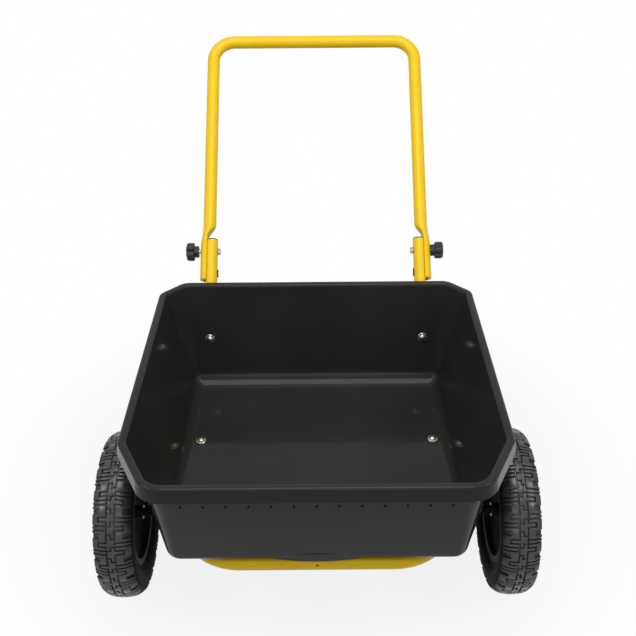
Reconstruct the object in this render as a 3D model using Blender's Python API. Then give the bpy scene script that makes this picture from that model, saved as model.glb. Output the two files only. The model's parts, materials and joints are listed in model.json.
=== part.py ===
"""Two-wheeled yard cart: a moulded tub on a bent-tube frame, with a handle that folds forward over the tub.

Metres, +Z up, ground at z = 0. The front of the cart faces -Y and the handle stands at +Y. Every place
below is measured from the point on the ground under the axle, which the empty cart_base carries.
"""

import math

import bmesh
import bpy
from mathutils import Matrix, Vector

# Clearances
GAP = 0.0003
PAINT_CLEARANCE = 0.0005
PLUG_CLEARANCE = 0.001

# Wheels and axle
WHEEL_RADIUS = 0.178
WHEEL_OUT_OF_RIM = 0.0405
TYRE_WIDTH = 0.089
TYRE_HEIGHT = 0.0765
TYRE_WALL = 0.006
# Half of the tyre's section, as shares of its half width and of its height above the bead
TYRE_OUTLINE = (
    (0.0, 1.0),
    (0.5, 0.955),
    (0.78, 0.88),
    (0.94, 0.77),
    (1.0, 0.58),
    (0.94, 0.36),
    (0.66, 0.18),
)
RIM_WIDTH = 0.055
RIM_SHEET = 0.002
RIM_FLANGE = 0.011
RIM_SLOPE = 0.012
RIM_DROP = 0.0315
TUBE_CLEARANCE = 0.00525
TUBE_SECTION_WALL = 0.0025
AXLE_RADIUS = 0.0065
AXLE_OVERHANG = 0.011
HUB_LENGTH = 0.060
HUB_WALL = 0.0028
RAIL_ABOVE_AXLE = 0.0518
BUSH_WALL = 0.0055
BUSH_FLANGE = 0.002
BUSH_SLEEVE = 0.016
AXLE_WASHER_THICKNESS = 0.002
AXLE_WASHER_WIDTH = 0.009
SPACER_WALL = 0.0025
COTTER_RADIUS = 0.0016
COTTER_REACH = 0.011
COTTER_INSET = 0.004
VALVE_RADIUS = 0.0035
VALVE_LENGTH = 0.042
VALVE_LEAN_DEG = 24.0
VALVE_OFFSET = 0.007
VALVE_CAP_RADIUS = 0.0045
VALVE_CAP_LENGTH = 0.011

# Tub
TUB_WALL = 0.004
TUB_DEPTH = 0.2475
FLOOR_FRONT = -0.2017
FLOOR_REAR = 0.377
REAR_FILLET = 0.031
SIDE_FILLET = 0.020
FRONT_FILLET = 0.010
RIM_HALF_WIDTH = 0.3705
SIDE_LEAN = 0.0741
RIM_FRONT = -0.273
RIM_REAR = 0.449
RIM_FRONT_CUT = (0.0645, 0.128)
RIM_REAR_CUT = (0.052, 0.052)
FLOOR_FRONT_CUT = (0.013, 0.040)
FLOOR_REAR_CUT = (0.006, 0.006)
FLANGE_WIDTH = 0.016
FLANGE_EDGE = 0.0035
SKIRT_DEPTH = 0.031
SKIRT_FLARE = 0.003
# Radius and arc steps of the four corners on the right, from the front, at the mouth and at the floor
MOUTH_RADII = ((0.040, 4), (0.008, 2), (0.012, 2), (0.020, 3))
FLOOR_RADII = ((0.016, 4), (0.030, 2), (0.006, 2), (0.008, 3))
SMALLEST_RADIUS = 0.002
TOE_HALF_WIDTH = 0.092
TOE_OUT = 0.0005
TOE_HEIGHT = 0.024
TOE_DROP = 0.0025

# Frame and stand
TUBE_RADIUS = 0.016
TUBE_WALL = 0.0016
RAIL_INSET = 0.0324
LOOP_SPREAD = 0.0028
STUB_DRAWN_IN = 0.004
LOOP_FRONT = -0.1925
LOOP_BEND = 0.115
NECK_BEND = 0.100
STUB_PAST_BOLT = 0.031
STUB_FLAT = 0.010
STUB_FLAT_BELOW_BOLT = 0.086
FLAT_RUN_OUT = 0.012
END_CAP_HEAD = 0.0012
END_CAP_DEPTH = 0.014
PLUG_BELOW_BOLT = 0.057
PLUG_LENGTH = 0.021
PLUG_WIDTH = 0.010
PLUG_HEAD = 0.0022
STAND_Y = 0.326
STAND_RADIUS = 0.0125
STAND_WALL = 0.0014
STAND_BEND = 0.050
STAND_FOOT_X = 0.130
FOOT_LENGTH = 0.050
FOOT_HALF_WIDTH = 0.017
FOOT_SOLE = 0.005
BRACKET_PLATE = 0.003
BRACKET_HALF_LENGTH = 0.030

# Handle
PIVOT_Y = 0.550
PIVOT_Z = 0.526
HANDLE_RISE_DEG = 43.5
HANDLE_PAST_STUB = 0.0055
HANDLE_LENGTH = 0.586
HANDLE_BEND = 0.055
TAIL_LENGTH = 0.076
PRESSED_DEPTH = 0.0165
PRESSED_HALF_WIDTH = 0.017
INNER_JOG = (0.038, 0.066)
OUTER_JOG = (0.014, 0.058)

# Fasteners
BOLT_RADIUS = 0.004
BOLT_FLANGE_RADIUS = 0.012
BOLT_DOME_RADIUS = 0.008
BOLT_DOME_HEIGHT = 0.0045
FLANGE_THICKNESS = 0.0016
NUT_ACROSS_FLATS = 0.013
NUT_HEIGHT = 0.0065
HEX_HEAD_HEIGHT = 0.0053
WASHER_RADIUS = 0.0085
WASHER_THICKNESS = 0.0016
THREAD_PAST_NUT = 0.003
FLOOR_BOLT_Y = 0.1524
REAR_BOLT_Z = 0.3622

# Knobs
KNOB_RADIUS = 0.0225
KNOB_HEAD = 0.020
KNOB_HUB_RADIUS = 0.0145
KNOB_HUB_LENGTH = 0.0105
KNOB_LOBES = 6
KNOB_LOBE_DEPTH = 0.0035
KNOB_CROWN = 0.004
KNOB_GAP = {"left": 0.0042, "right": GAP}
INSERT_RADIUS = 0.0065
INSERT_LENGTH = 0.016

# Facets
WHEEL_FACETS = 24
TUBE_FACETS = 12
PIN_FACETS = 12
SLIM_FACETS = 8
HOLE_FACETS = 6
BEND_STEP_DEG = 15.0

SIDES = {"left": -1.0, "right": 1.0}
X_AXIS = Vector((1.0, 0.0, 0.0))

# Worked out from the sizes above
BEAD_RADIUS = WHEEL_RADIUS - TYRE_HEIGHT
RIM_WEB_RADIUS = BEAD_RADIUS - RIM_DROP
TUBE_SECTION_RADIUS = (TYRE_HEIGHT - TYRE_WALL) / 2 - TUBE_CLEARANCE
FLOOR_HALF_WIDTH = RIM_HALF_WIDTH - SIDE_LEAN
HEEL_X = FLOOR_HALF_WIDTH - RAIL_INSET
LOOP_X = HEEL_X + LOOP_SPREAD
STUB_X = HEEL_X - STUB_DRAWN_IN
HANDLE_HALF_WIDTH = STUB_X + HANDLE_PAST_STUB
WHEEL_CENTRE_X = RIM_HALF_WIDTH + WHEEL_OUT_OF_RIM
AXLE_Z = WHEEL_RADIUS
RAIL_Z = AXLE_Z + RAIL_ABOVE_AXLE
TUB_UNDERSIDE = RAIL_Z + TUBE_RADIUS + GAP
FLOOR_Z = TUB_UNDERSIDE + TUB_WALL
RIM_Z = FLOOR_Z + TUB_DEPTH
HANDLE_RISE = math.radians(HANDLE_RISE_DEG)
HANDLE_DIRECTION = Vector((0.0, math.cos(HANDLE_RISE), math.sin(HANDLE_RISE)))
HANDLE_REACH = PIVOT_Y + HANDLE_LENGTH * HANDLE_DIRECTION.y + TUBE_RADIUS
BASE_Y = -(HANDLE_REACH + RIM_FRONT - SKIRT_FLARE) / 2
PIVOT = Vector((0.0, PIVOT_Y, PIVOT_Z))


def material(name, colour, roughness, metallic=0.0):
    """A Principled material of one colour."""
    made = bpy.data.materials.new(name)
    made.use_nodes = True
    shader = made.node_tree.nodes["Principled BSDF"]
    shader.inputs["Base Color"].default_value = (*colour, 1.0)
    shader.inputs["Roughness"].default_value = roughness
    shader.inputs["Metallic"].default_value = metallic
    return made


def empty(name, place, parent=None):
    """An empty that carries the pieces of one body."""
    made = bpy.data.objects.new(name, None)
    made.parent = parent
    made.location = place
    bpy.context.scene.collection.objects.link(made)
    return made


def add_piece(name, bm, finish, parent, place=Matrix.Identity(4)):
    """Turns a bmesh into a named, smooth-shaded object and parents it."""
    bmesh.ops.recalc_face_normals(bm, faces=bm.faces)
    mesh = bpy.data.meshes.new(name)
    bm.to_mesh(mesh)
    bm.free()
    mesh.shade_smooth()
    mesh.set_sharp_from_angle(angle=math.radians(35))
    made = bpy.data.objects.new(name, mesh)
    made.data.materials.append(finish)
    made.parent = parent
    made.matrix_basis = place
    bpy.context.scene.collection.objects.link(made)
    return made


def bore(radius, facets, clearance=GAP):
    """The corner radius of a faceted hole that clears a round pin."""
    return (radius + clearance) / math.cos(math.pi / facets)


def aim(place, direction):
    """A matrix that turns local +X to a direction and moves it to a place."""
    turn = X_AXIS.rotation_difference(Vector(direction).normalized())
    return Matrix.Translation(place) @ turn.to_matrix().to_4x4()


def turned(profile, facets):
    """Spins an outline of (along, radius) points about local X. One that ends on the axis is solid."""
    bm = bmesh.new()
    verts = [bm.verts.new((along, 0.0, radius)) for along, radius in profile]
    pairs = list(zip(verts, verts[1:]))
    if profile[0][1] > 0.0:
        pairs.append((verts[-1], verts[0]))
    edges = [bm.edges.new(pair) for pair in pairs]
    bmesh.ops.spin(
        bm,
        geom=verts + edges,
        cent=(0.0, 0.0, 0.0),
        axis=X_AXIS,
        angle=math.tau,
        steps=facets,
        use_merge=True,
    )
    bmesh.ops.remove_doubles(bm, verts=bm.verts, dist=1e-6)
    return bm


def ring_profile(start, end, inner, outer):
    """The outline of a plain ring."""
    return [(start, inner), (end, inner), (end, outer), (start, outer)]


def make_hexagonal(bm, past, radius):
    """Flattens six sides, past a distance from the axis, on a shape spun in twelve facets."""
    for vert in bm.verts:
        distance = math.hypot(vert.co.y, vert.co.z)
        step = round(math.degrees(math.atan2(vert.co.y, vert.co.z)) / 30)
        if distance > past and step % 2:
            vert.co.yz = vert.co.yz * (radius * math.cos(math.radians(30)) / distance)


def skinned(rings, closed=False):
    """Extrudes one ring of points to the next, with capped ends or the last ring run on to the first."""
    bm = bmesh.new()
    verts = [bm.verts.new(point) for point in rings[0]]
    edges = [bm.edges.new(pair) for pair in zip(verts, verts[1:] + verts[:1])]
    if not closed:
        bm.faces.new(verts)
    for ring in rings[1:] + (rings[:1] if closed else []):
        made = bmesh.ops.extrude_edge_only(bm, edges=edges)["geom"]
        fresh = {item for item in made if isinstance(item, bmesh.types.BMVert)}
        edges = [item for item in made if isinstance(item, bmesh.types.BMEdge)]
        edges = [edge for edge in edges if fresh.issuperset(edge.verts)]
        verts = [
            next(edge.other_vert(vert) for edge in vert.link_edges if edge.other_vert(vert) in fresh)
            for vert in verts
        ]
        for vert, point in zip(verts, ring):
            vert.co = point
    if closed:
        bmesh.ops.remove_doubles(bm, verts=bm.verts, dist=1e-6)
    else:
        bm.faces.new(verts)
    return bm


def prism(bm, outline, along):
    """Extrudes a flat outline along a vector into a closed block."""
    face = bm.faces.new([bm.verts.new(point) for point in outline])
    made = bmesh.ops.extrude_face_region(bm, geom=[face])["geom"]
    moved = [item for item in made if isinstance(item, bmesh.types.BMVert)]
    bmesh.ops.translate(bm, verts=moved, vec=along)


def rod(bm, start, end, radius, facets):
    """Adds a closed cylinder between two points."""
    start, end = Vector(start), Vector(end)
    turn = (end - start).to_track_quat("Z", "Y").to_matrix().to_4x4()
    bmesh.ops.create_cone(
        bm,
        cap_ends=True,
        segments=facets,
        radius1=radius,
        radius2=radius,
        depth=(end - start).length,
        matrix=Matrix.Translation((start + end) / 2) @ turn,
    )


def carve(target, cutter):
    """Cuts a hidden shape out of a piece."""
    cutter.hide_render = True
    cutter.display_type = "WIRE"
    cut = target.modifiers.new(cutter.name, "BOOLEAN")
    cut.operation = "DIFFERENCE"
    cut.solver = "EXACT"
    cut.object = cutter


def drill(target, holes, finish, parent, radius=BOLT_RADIUS, facets=HOLE_FACETS):
    """Cuts round holes, each given by its two ends, that clear a bolt."""
    bm = bmesh.new()
    for start, end in holes:
        rod(bm, start, end, bore(radius, facets), facets)
    carve(target, add_piece(target.name + "_holes", bm, finish, parent))


def bent_path(points, bends, extra=()):
    """Stations along straight runs joined by arcs, as (place, direction, side, distance from the start).

    bends holds one radius for each inner point, and extra the distances along the first run, and back
    along the last, that need a station of their own. side starts along -X and is carried round each bend.
    """
    stations = []
    length = 0.0
    side = -X_AXIS
    points = [Vector(point) for point in points]
    first = (points[1] - points[0]).normalized()
    last = (points[-1] - points[-2]).normalized()
    stations.append((points[0], first, side, 0.0))
    for distance in extra:
        stations.append((points[0] + first * distance, first, side, distance))
    here = points[0]
    for before, corner, after, radius in zip(points, points[1:], points[2:], bends):
        into = (corner - before).normalized()
        out = (after - corner).normalized()
        turn = into.rotation_difference(out)
        reach = radius * math.tan(turn.angle / 2)
        start = corner - into * reach
        centre = start + (out - into * into.dot(out)).normalized() * radius
        length += (start - here).length
        steps = max(2, math.ceil(math.degrees(turn.angle) / BEND_STEP_DEG))
        for step in range(steps + 1):
            part = Matrix.Rotation(turn.angle * step / steps, 3, turn.axis)
            place = centre + part @ (start - centre)
            stations.append((place, part @ into, part @ side, length + radius * turn.angle * step / steps))
        side = turn @ side
        length += radius * turn.angle
        here = corner + out * reach
    length += (points[-1] - here).length
    for distance in reversed(extra):
        stations.append((points[-1] - last * distance, last, side, length - distance))
    stations.append((points[-1], last, side, length))
    return stations


def hollow_tube(stations, section):
    """A pipe along stations. section(distance, inset) gives its outer or inner outline."""

    def rings(inset):
        made = []
        for place, direction, side, distance in stations:
            across = direction.cross(side)
            made.append([place + side * out + across * over for out, over in section(distance, inset)])
        return made

    return skinned(rings(False) + rings(True)[::-1], closed=True)


def circle_points(radius, facets):
    """Points round a circle, as (out, across)."""
    angles = [math.tau * step / facets for step in range(facets)]
    return [(radius * math.cos(angle), radius * math.sin(angle)) for angle in angles]


def mixed(start, end, share):
    """A value between two others."""
    return start + (end - start) * share


def eased(value):
    """0 to 1 with a soft start and end."""
    value = min(max(value, 0.0), 1.0)
    return value * value * (3 - 2 * value)


# Tub

def tub_corners(half_width, front, rear, front_cut, rear_cut):
    """The eight corners of the tub's outline, anticlockwise from the front right."""
    right = [
        Vector((half_width - front_cut[0], front)),
        Vector((half_width, front + front_cut[1])),
        Vector((half_width, rear - rear_cut[1])),
        Vector((half_width - rear_cut[0], rear)),
    ]
    return right + [Vector((-point.x, point.y)) for point in reversed(right)]


def moved_out(corners, distance):
    """The corners where the outline's sides meet when each side moves outwards."""
    made = []
    for before, here, after in zip(corners[-1:] + corners[:-1], corners, corners[1:] + corners[:1]):
        into, out = (here - before).normalized(), (after - here).normalized()
        normal = Vector((into.y, -into.x))
        middle = (normal + Vector((out.y, -out.x))).normalized()
        made.append(here + middle * (distance / middle.dot(normal)))
    return made


def rounded(corners, radii, height):
    """A ring at one height with rounded corners. radii has (radius, arc steps) for the four right ones."""
    ring = []
    sizes = list(radii) + list(reversed(radii))
    for before, here, after, (radius, steps) in zip(
        corners[-1:] + corners[:-1], corners, corners[1:] + corners[:1], sizes
    ):
        into, out = (here - before).normalized(), (after - here).normalized()
        angle = into.angle(out)
        start = here - into * (radius * math.tan(angle / 2))
        centre = start + Vector((-into.y, into.x)) * radius
        for step in range(steps + 1):
            arm = Matrix.Rotation(angle * step / steps, 2) @ (start - centre)
            ring.append((centre.x + arm.x, centre.y + arm.y, height))
    return ring


RIM_CORNERS = tub_corners(RIM_HALF_WIDTH, RIM_FRONT, RIM_REAR, RIM_FRONT_CUT, RIM_REAR_CUT)
MOUTH_CORNERS = moved_out(RIM_CORNERS, -FLANGE_WIDTH)
FLOOR_CORNERS = tub_corners(FLOOR_HALF_WIDTH, FLOOR_FRONT, FLOOR_REAR, FLOOR_FRONT_CUT, FLOOR_REAR_CUT)
REAR_LEAN = math.atan2(MOUTH_CORNERS[3].y - FLOOR_REAR, TUB_DEPTH)
FRONT_LEAN = math.atan2(FLOOR_FRONT - MOUTH_CORNERS[0].y, TUB_DEPTH)
WALL_OUT = TUB_WALL / math.cos(FRONT_LEAN)


def wall_ring(height, out, drawn_in=(0.0, 0.0, 0.0)):
    """A ring on the tub's wall at a height, moved outwards from its inner face.

    drawn_in moves the side, front and rear walls inwards while the cut corners keep their size.
    """
    share = (height - FLOOR_Z) / TUB_DEPTH
    corners = []
    for low, high in zip(FLOOR_CORNERS, MOUTH_CORNERS):
        along = drawn_in[1] if low.y < 0.0 else -drawn_in[2]
        corners.append(low.lerp(high, share) + Vector((-math.copysign(drawn_in[0], low.x), along)))
    radii = [
        (max(mixed(low, high, share) + out, SMALLEST_RADIUS), steps)
        for (low, steps), (high, _) in zip(FLOOR_RADII, MOUTH_RADII)
    ]
    return rounded(moved_out(corners, out), radii, height)


def rim_ring(height, out):
    """A ring on the flange or skirt, moved outwards from the rim's outer edge."""
    radii = [(radius + FLANGE_WIDTH + out, steps) for radius, steps in MOUTH_RADII]
    return rounded(moved_out(RIM_CORNERS, out), radii, height)


def fillet_rings(bottom, grow, out):
    """Rings from a floor up to where its fillet meets the wall."""
    made = []
    for step in range(6):
        height = (REAR_FILLET + grow) * (1 - math.cos(math.radians(90 * step / 5)))
        drawn_in = []
        for size in (SIDE_FILLET + grow, FRONT_FILLET + grow, REAR_FILLET + grow):
            drawn_in.append(size - math.sqrt(size**2 - max(size - height, 0.0) ** 2))
        made.append(wall_ring(bottom + height, out, drawn_in))
    return made


def build_tub(finish, parent):
    """The moulded tub: floor, leaning walls, flat flange and turned-down skirt, of one wall thickness."""
    inner = fillet_rings(FLOOR_Z, 0.0, 0.0)
    outer = fillet_rings(TUB_UNDERSIDE, TUB_WALL, WALL_OUT)
    skirt_bottom = RIM_Z - SKIRT_DEPTH
    rim = [
        wall_ring(RIM_Z - FLANGE_EDGE, 0.0),
        wall_ring(RIM_Z, FLANGE_EDGE),
        rim_ring(RIM_Z, -FLANGE_EDGE),
        rim_ring(RIM_Z - FLANGE_EDGE, 0.0),
        rim_ring(skirt_bottom, SKIRT_FLARE),
        rim_ring(skirt_bottom, SKIRT_FLARE - TUB_WALL),
        rim_ring(RIM_Z - TUB_WALL, -TUB_WALL),
        wall_ring(RIM_Z - TUB_WALL, WALL_OUT),
    ]
    tub = add_piece("tub", skinned(inner + rim + outer[::-1]), finish, parent)

    bottom, top = TUB_UNDERSIDE - TOE_DROP, TUB_UNDERSIDE + TOE_HEIGHT
    behind = LOOP_FRONT - math.sqrt(TUBE_RADIUS**2 - (bottom - RAIL_Z) ** 2) - PAINT_CLEARANCE
    top_front = FLOOR_FRONT - WALL_OUT - TOE_HEIGHT * math.tan(FRONT_LEAN)
    section = [
        Vector((behind - TUB_WALL, bottom)),
        Vector((behind, bottom)),
        Vector((behind, TUB_UNDERSIDE)),
        Vector((FLOOR_FRONT - TUB_WALL / 2, TUB_UNDERSIDE)),
        Vector((top_front + WALL_OUT / 2, top)),
        Vector((top_front - TOE_OUT, top)),
    ]
    fillet_reach = FRONT_FILLET * math.tan((math.pi / 2 - FRONT_LEAN) / 2)
    from_centre = (FRONT_FILLET + TUB_WALL / 2) * math.sqrt(0.5)
    core = Vector((FLOOR_FRONT + fillet_reach - from_centre, FLOOR_Z + FRONT_FILLET - from_centre))
    rings = []
    for step in range(13):
        share = step / 6 - 1
        ring = [core.lerp(point, 1.05 - share**2) for point in section]
        rings.append([(TOE_HALF_WIDTH * share, point.x, point.y) for point in ring])
    toe = add_piece("tub_toe", skinned(rings), finish, parent)
    toe.hide_render = True
    toe.display_type = "WIRE"
    join = tub.modifiers.new("toe", "BOOLEAN")
    join.operation = "UNION"
    join.solver = "EXACT"
    join.object = toe
    return tub


# Frame

REAR_WALL_UP = Vector((0.0, math.sin(REAR_LEAN), math.cos(REAR_LEAN)))
REAR_WALL_OUT = Vector((0.0, math.cos(REAR_LEAN), -math.sin(REAR_LEAN)))


def rear_wall_point(height, out):
    """A place on the rear wall at a height, moved outwards from its inner face."""
    along = (height - FLOOR_Z) / REAR_WALL_UP.z
    return Vector((0.0, FLOOR_REAR, FLOOR_Z)) + REAR_WALL_UP * along + REAR_WALL_OUT * out


def meeting(point, direction, other_point, other_direction):
    """Where two lines in the YZ plane cross."""
    gap = other_point - point
    across = direction.y * other_direction.z - direction.z * other_direction.y
    along = (gap.y * other_direction.z - gap.z * other_direction.y) / across
    return point + direction * along


RISER_OUT = WALL_OUT + GAP + TUBE_RADIUS
RISER_POINT = rear_wall_point(REAR_BOLT_Z, RISER_OUT)
NECK = meeting(RISER_POINT, REAR_WALL_UP, PIVOT, HANDLE_DIRECTION)
HEEL = meeting(RISER_POINT, REAR_WALL_UP, Vector((0.0, 0.0, RAIL_Z)), Vector((0.0, 1.0, 0.0)))
HEEL_BEND = REAR_FILLET + TUB_WALL + GAP + TUBE_RADIUS
STUB_END = PIVOT + HANDLE_DIRECTION * STUB_PAST_BOLT
RISER_X = mixed(STUB_X, HEEL_X, (NECK.z - REAR_BOLT_Z) / (NECK.z - HEEL.z))


def rail_x(y):
    """How far a rail's centre line is from the middle of the cart."""
    return mixed(LOOP_X, HEEL_X, (y - LOOP_FRONT) / (HEEL.y - LOOP_FRONT))


def frame_section(total):
    """The frame's outline: round, with a flat on the outboard side of each end, where the handle turns."""

    def section(distance, inset):
        wall = TUBE_WALL if inset else 0.0
        from_end = min(distance, total - distance)
        flat_end = STUB_PAST_BOLT + STUB_FLAT_BELOW_BOLT
        limit = mixed(STUB_FLAT, TUBE_RADIUS, eased((from_end - flat_end) / FLAT_RUN_OUT)) - wall
        return [(min(out, limit), over) for out, over in circle_points(TUBE_RADIUS - wall, TUBE_FACETS)]

    return section


def build_frame(finish, parent):
    """One bent tube: front loop, rails under the floor, risers behind the tub and a stub at each end."""
    loop = Vector((0.0, LOOP_FRONT, RAIL_Z))
    route = ((LOOP_X, loop), (HEEL_X, HEEL), (STUB_X, NECK), (STUB_X, STUB_END))
    right = [X_AXIS * x + point for x, point in route]
    left = [Vector((-point.x, point.y, point.z)) for point in reversed(right)]
    flat_end = STUB_PAST_BOLT + STUB_FLAT_BELOW_BOLT
    bends = [NECK_BEND, HEEL_BEND, LOOP_BEND, LOOP_BEND, HEEL_BEND, NECK_BEND]
    stations = bent_path(left + right, bends, extra=(flat_end, flat_end + FLAT_RUN_OUT))
    tube = hollow_tube(stations, frame_section(stations[-1][3]))
    frame = add_piece("frame_tube", tube, finish, parent)

    reach = 2 * TUBE_RADIUS
    holes = [(loop - Vector((0.0, reach, 0.0)), loop)]
    for side in SIDES.values():
        floor_middle = Vector((side * rail_x(FLOOR_BOLT_Y), FLOOR_BOLT_Y, RAIL_Z))
        stand_middle = Vector((side * rail_x(STAND_Y), STAND_Y, RAIL_Z))
        for middle, way in (
            (PIVOT + X_AXIS * side * STUB_X, X_AXIS),
            (RISER_POINT + X_AXIS * side * RISER_X, REAR_WALL_OUT),
            (floor_middle, Vector((0.0, 0.0, 1.0))),
            (stand_middle, X_AXIS),
        ):
            holes.append((middle - way * reach, middle + way * reach))
    drill(frame, holes, finish, parent)

    bm = bmesh.new()
    for side in SIDES.values():
        place = X_AXIS * side * (STUB_X - TUBE_RADIUS) + PIVOT - HANDLE_DIRECTION * PLUG_BELOW_BOLT
        plug_outline(bm, place, side, PAINT_CLEARANCE, -TUBE_RADIUS / 2, TUBE_RADIUS / 2)
    carve(frame, add_piece("frame_plug_slots", bm, finish, parent))
    return frame


def plug_outline(bm, place, side, grow, start, end):
    """Adds a prism with an oval outline, long along the stub, between two distances inboard of a place."""
    length, width = PLUG_LENGTH / 2 + grow, PLUG_WIDTH / 2 + grow
    across = HANDLE_DIRECTION.cross(X_AXIS)
    ring = []
    for step in range(12):
        angle = math.tau * step / 12
        ring.append(HANDLE_DIRECTION * (length * math.cos(angle)) + across * (width * math.sin(angle)))
    prism(bm, [place + point - X_AXIS * side * start for point in ring], -X_AXIS * side * (end - start))


def build_frame_trim(finish, parent):
    """The black push-in caps of the tube's two ends, and the oval plug on the inner side of each stub."""
    for name, side in SIDES.items():
        across = X_AXIS * side * STUB_X
        inside = TUBE_WALL + PLUG_CLEARANCE
        bm = turned(
            [
                (-END_CAP_DEPTH, 0.0),
                (-END_CAP_DEPTH, TUBE_RADIUS - inside),
                (GAP, TUBE_RADIUS - inside),
                (GAP, TUBE_RADIUS),
                (GAP + END_CAP_HEAD, TUBE_RADIUS - END_CAP_HEAD / 2),
                (GAP + END_CAP_HEAD, 0.0),
            ],
            TUBE_FACETS,
        )
        place = aim(across + STUB_END, HANDLE_DIRECTION)
        outboard = (place.inverted().to_3x3() @ (X_AXIS * side)).normalized()
        for vert in bm.verts:
            is_head = vert.co.x > 0.0 and vert.co.yz.length > TUBE_RADIUS - TUBE_WALL
            past = vert.co.dot(outboard) - (STUB_FLAT if is_head else STUB_FLAT - inside)
            if past > 0.0:
                vert.co -= outboard * past
        add_piece("frame_end_cap_" + name, bm, finish, parent, place)

        bm = bmesh.new()
        place = X_AXIS * side * (STUB_X - TUBE_RADIUS) + PIVOT - HANDLE_DIRECTION * PLUG_BELOW_BOLT
        plug_outline(bm, place, side, 0.0, -TUBE_RADIUS / 3, PLUG_HEAD)
        add_piece("frame_side_plug_" + name, bm, finish, parent)


# Fasteners

def flanged_bolt(name, place, direction, length, finish, parent):
    """A domed bolt with a wide flange. The place is under the flange, and the shank runs from it."""
    profile = [
        (-FLANGE_THICKNESS - BOLT_DOME_HEIGHT, 0.0),
        (-FLANGE_THICKNESS - BOLT_DOME_HEIGHT, BOLT_DOME_RADIUS / 2),
        (-FLANGE_THICKNESS - BOLT_DOME_HEIGHT / 2, BOLT_DOME_RADIUS * 0.85),
        (-FLANGE_THICKNESS, BOLT_DOME_RADIUS),
        (-FLANGE_THICKNESS, BOLT_FLANGE_RADIUS),
        (0.0, BOLT_FLANGE_RADIUS),
        (0.0, BOLT_RADIUS),
        (length, BOLT_RADIUS),
        (length, 0.0),
    ]
    add_piece(name, turned(profile, PIN_FACETS), finish, parent, aim(place, direction))


def hex_bolt(name, place, direction, length, finish, parent):
    """A hexagon-head bolt. The place is under the head, and the shank runs from it."""
    corner = NUT_ACROSS_FLATS / 2 / math.cos(math.radians(30))
    profile = [
        (-HEX_HEAD_HEIGHT, 0.0),
        (-HEX_HEAD_HEIGHT, corner),
        (0.0, corner),
        (0.0, BOLT_RADIUS),
        (length, BOLT_RADIUS),
        (length, 0.0),
    ]
    bm = turned(profile, PIN_FACETS)
    make_hexagonal(bm, BOLT_RADIUS * 1.2, corner)
    add_piece(name, bm, finish, parent, aim(place, direction))


def nut(name, place, direction, finish, parent):
    """A hexagon nut, from a place along a direction."""
    corner = NUT_ACROSS_FLATS / 2 / math.cos(math.radians(30))
    bm = turned(ring_profile(0.0, NUT_HEIGHT, bore(BOLT_RADIUS, 6), corner), 6)
    add_piece(name, bm, finish, parent, aim(place, direction))


def build_tub_fasteners(tub, finish, parent):
    """Two bolts through the rear wall and risers, and two through the floor and rails, with their nuts."""
    stack = WALL_OUT + GAP + 2 * TUBE_RADIUS
    holes = []
    down = Vector((0.0, 0.0, -1.0))
    floor_stack = TUB_WALL + GAP + 2 * TUBE_RADIUS
    for name, side in SIDES.items():
        inner_face = X_AXIS * side * RISER_X + RISER_POINT - REAR_WALL_OUT * RISER_OUT
        start = inner_face - REAR_WALL_OUT * GAP
        length = GAP + stack + GAP + NUT_HEIGHT + THREAD_PAST_NUT
        flanged_bolt("rear_bolt_" + name, start, REAR_WALL_OUT, length, finish, parent)
        nut("rear_nut_" + name, inner_face + REAR_WALL_OUT * (stack + GAP), REAR_WALL_OUT, finish, parent)
        holes.append((inner_face - REAR_WALL_OUT * TUB_WALL * 2, inner_face + REAR_WALL_OUT * TUB_WALL * 3))

        floor = Vector((side * rail_x(FLOOR_BOLT_Y), FLOOR_BOLT_Y, FLOOR_Z))
        length = GAP + floor_stack + GAP + NUT_HEIGHT + THREAD_PAST_NUT
        flanged_bolt("floor_bolt_" + name, floor - down * GAP, down, length, finish, parent)
        nut("floor_nut_" + name, floor + down * (floor_stack + GAP), down, finish, parent)
        holes.append((floor - down * TUB_WALL * 2, floor + down * TUB_WALL * 3))
    drill(tub, holes, finish, parent)


# Stand

def stand_section(distance, inset):
    """The stand's round outline."""
    return circle_points(STAND_RADIUS - (STAND_WALL if inset else 0.0), SLIM_FACETS)


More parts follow.
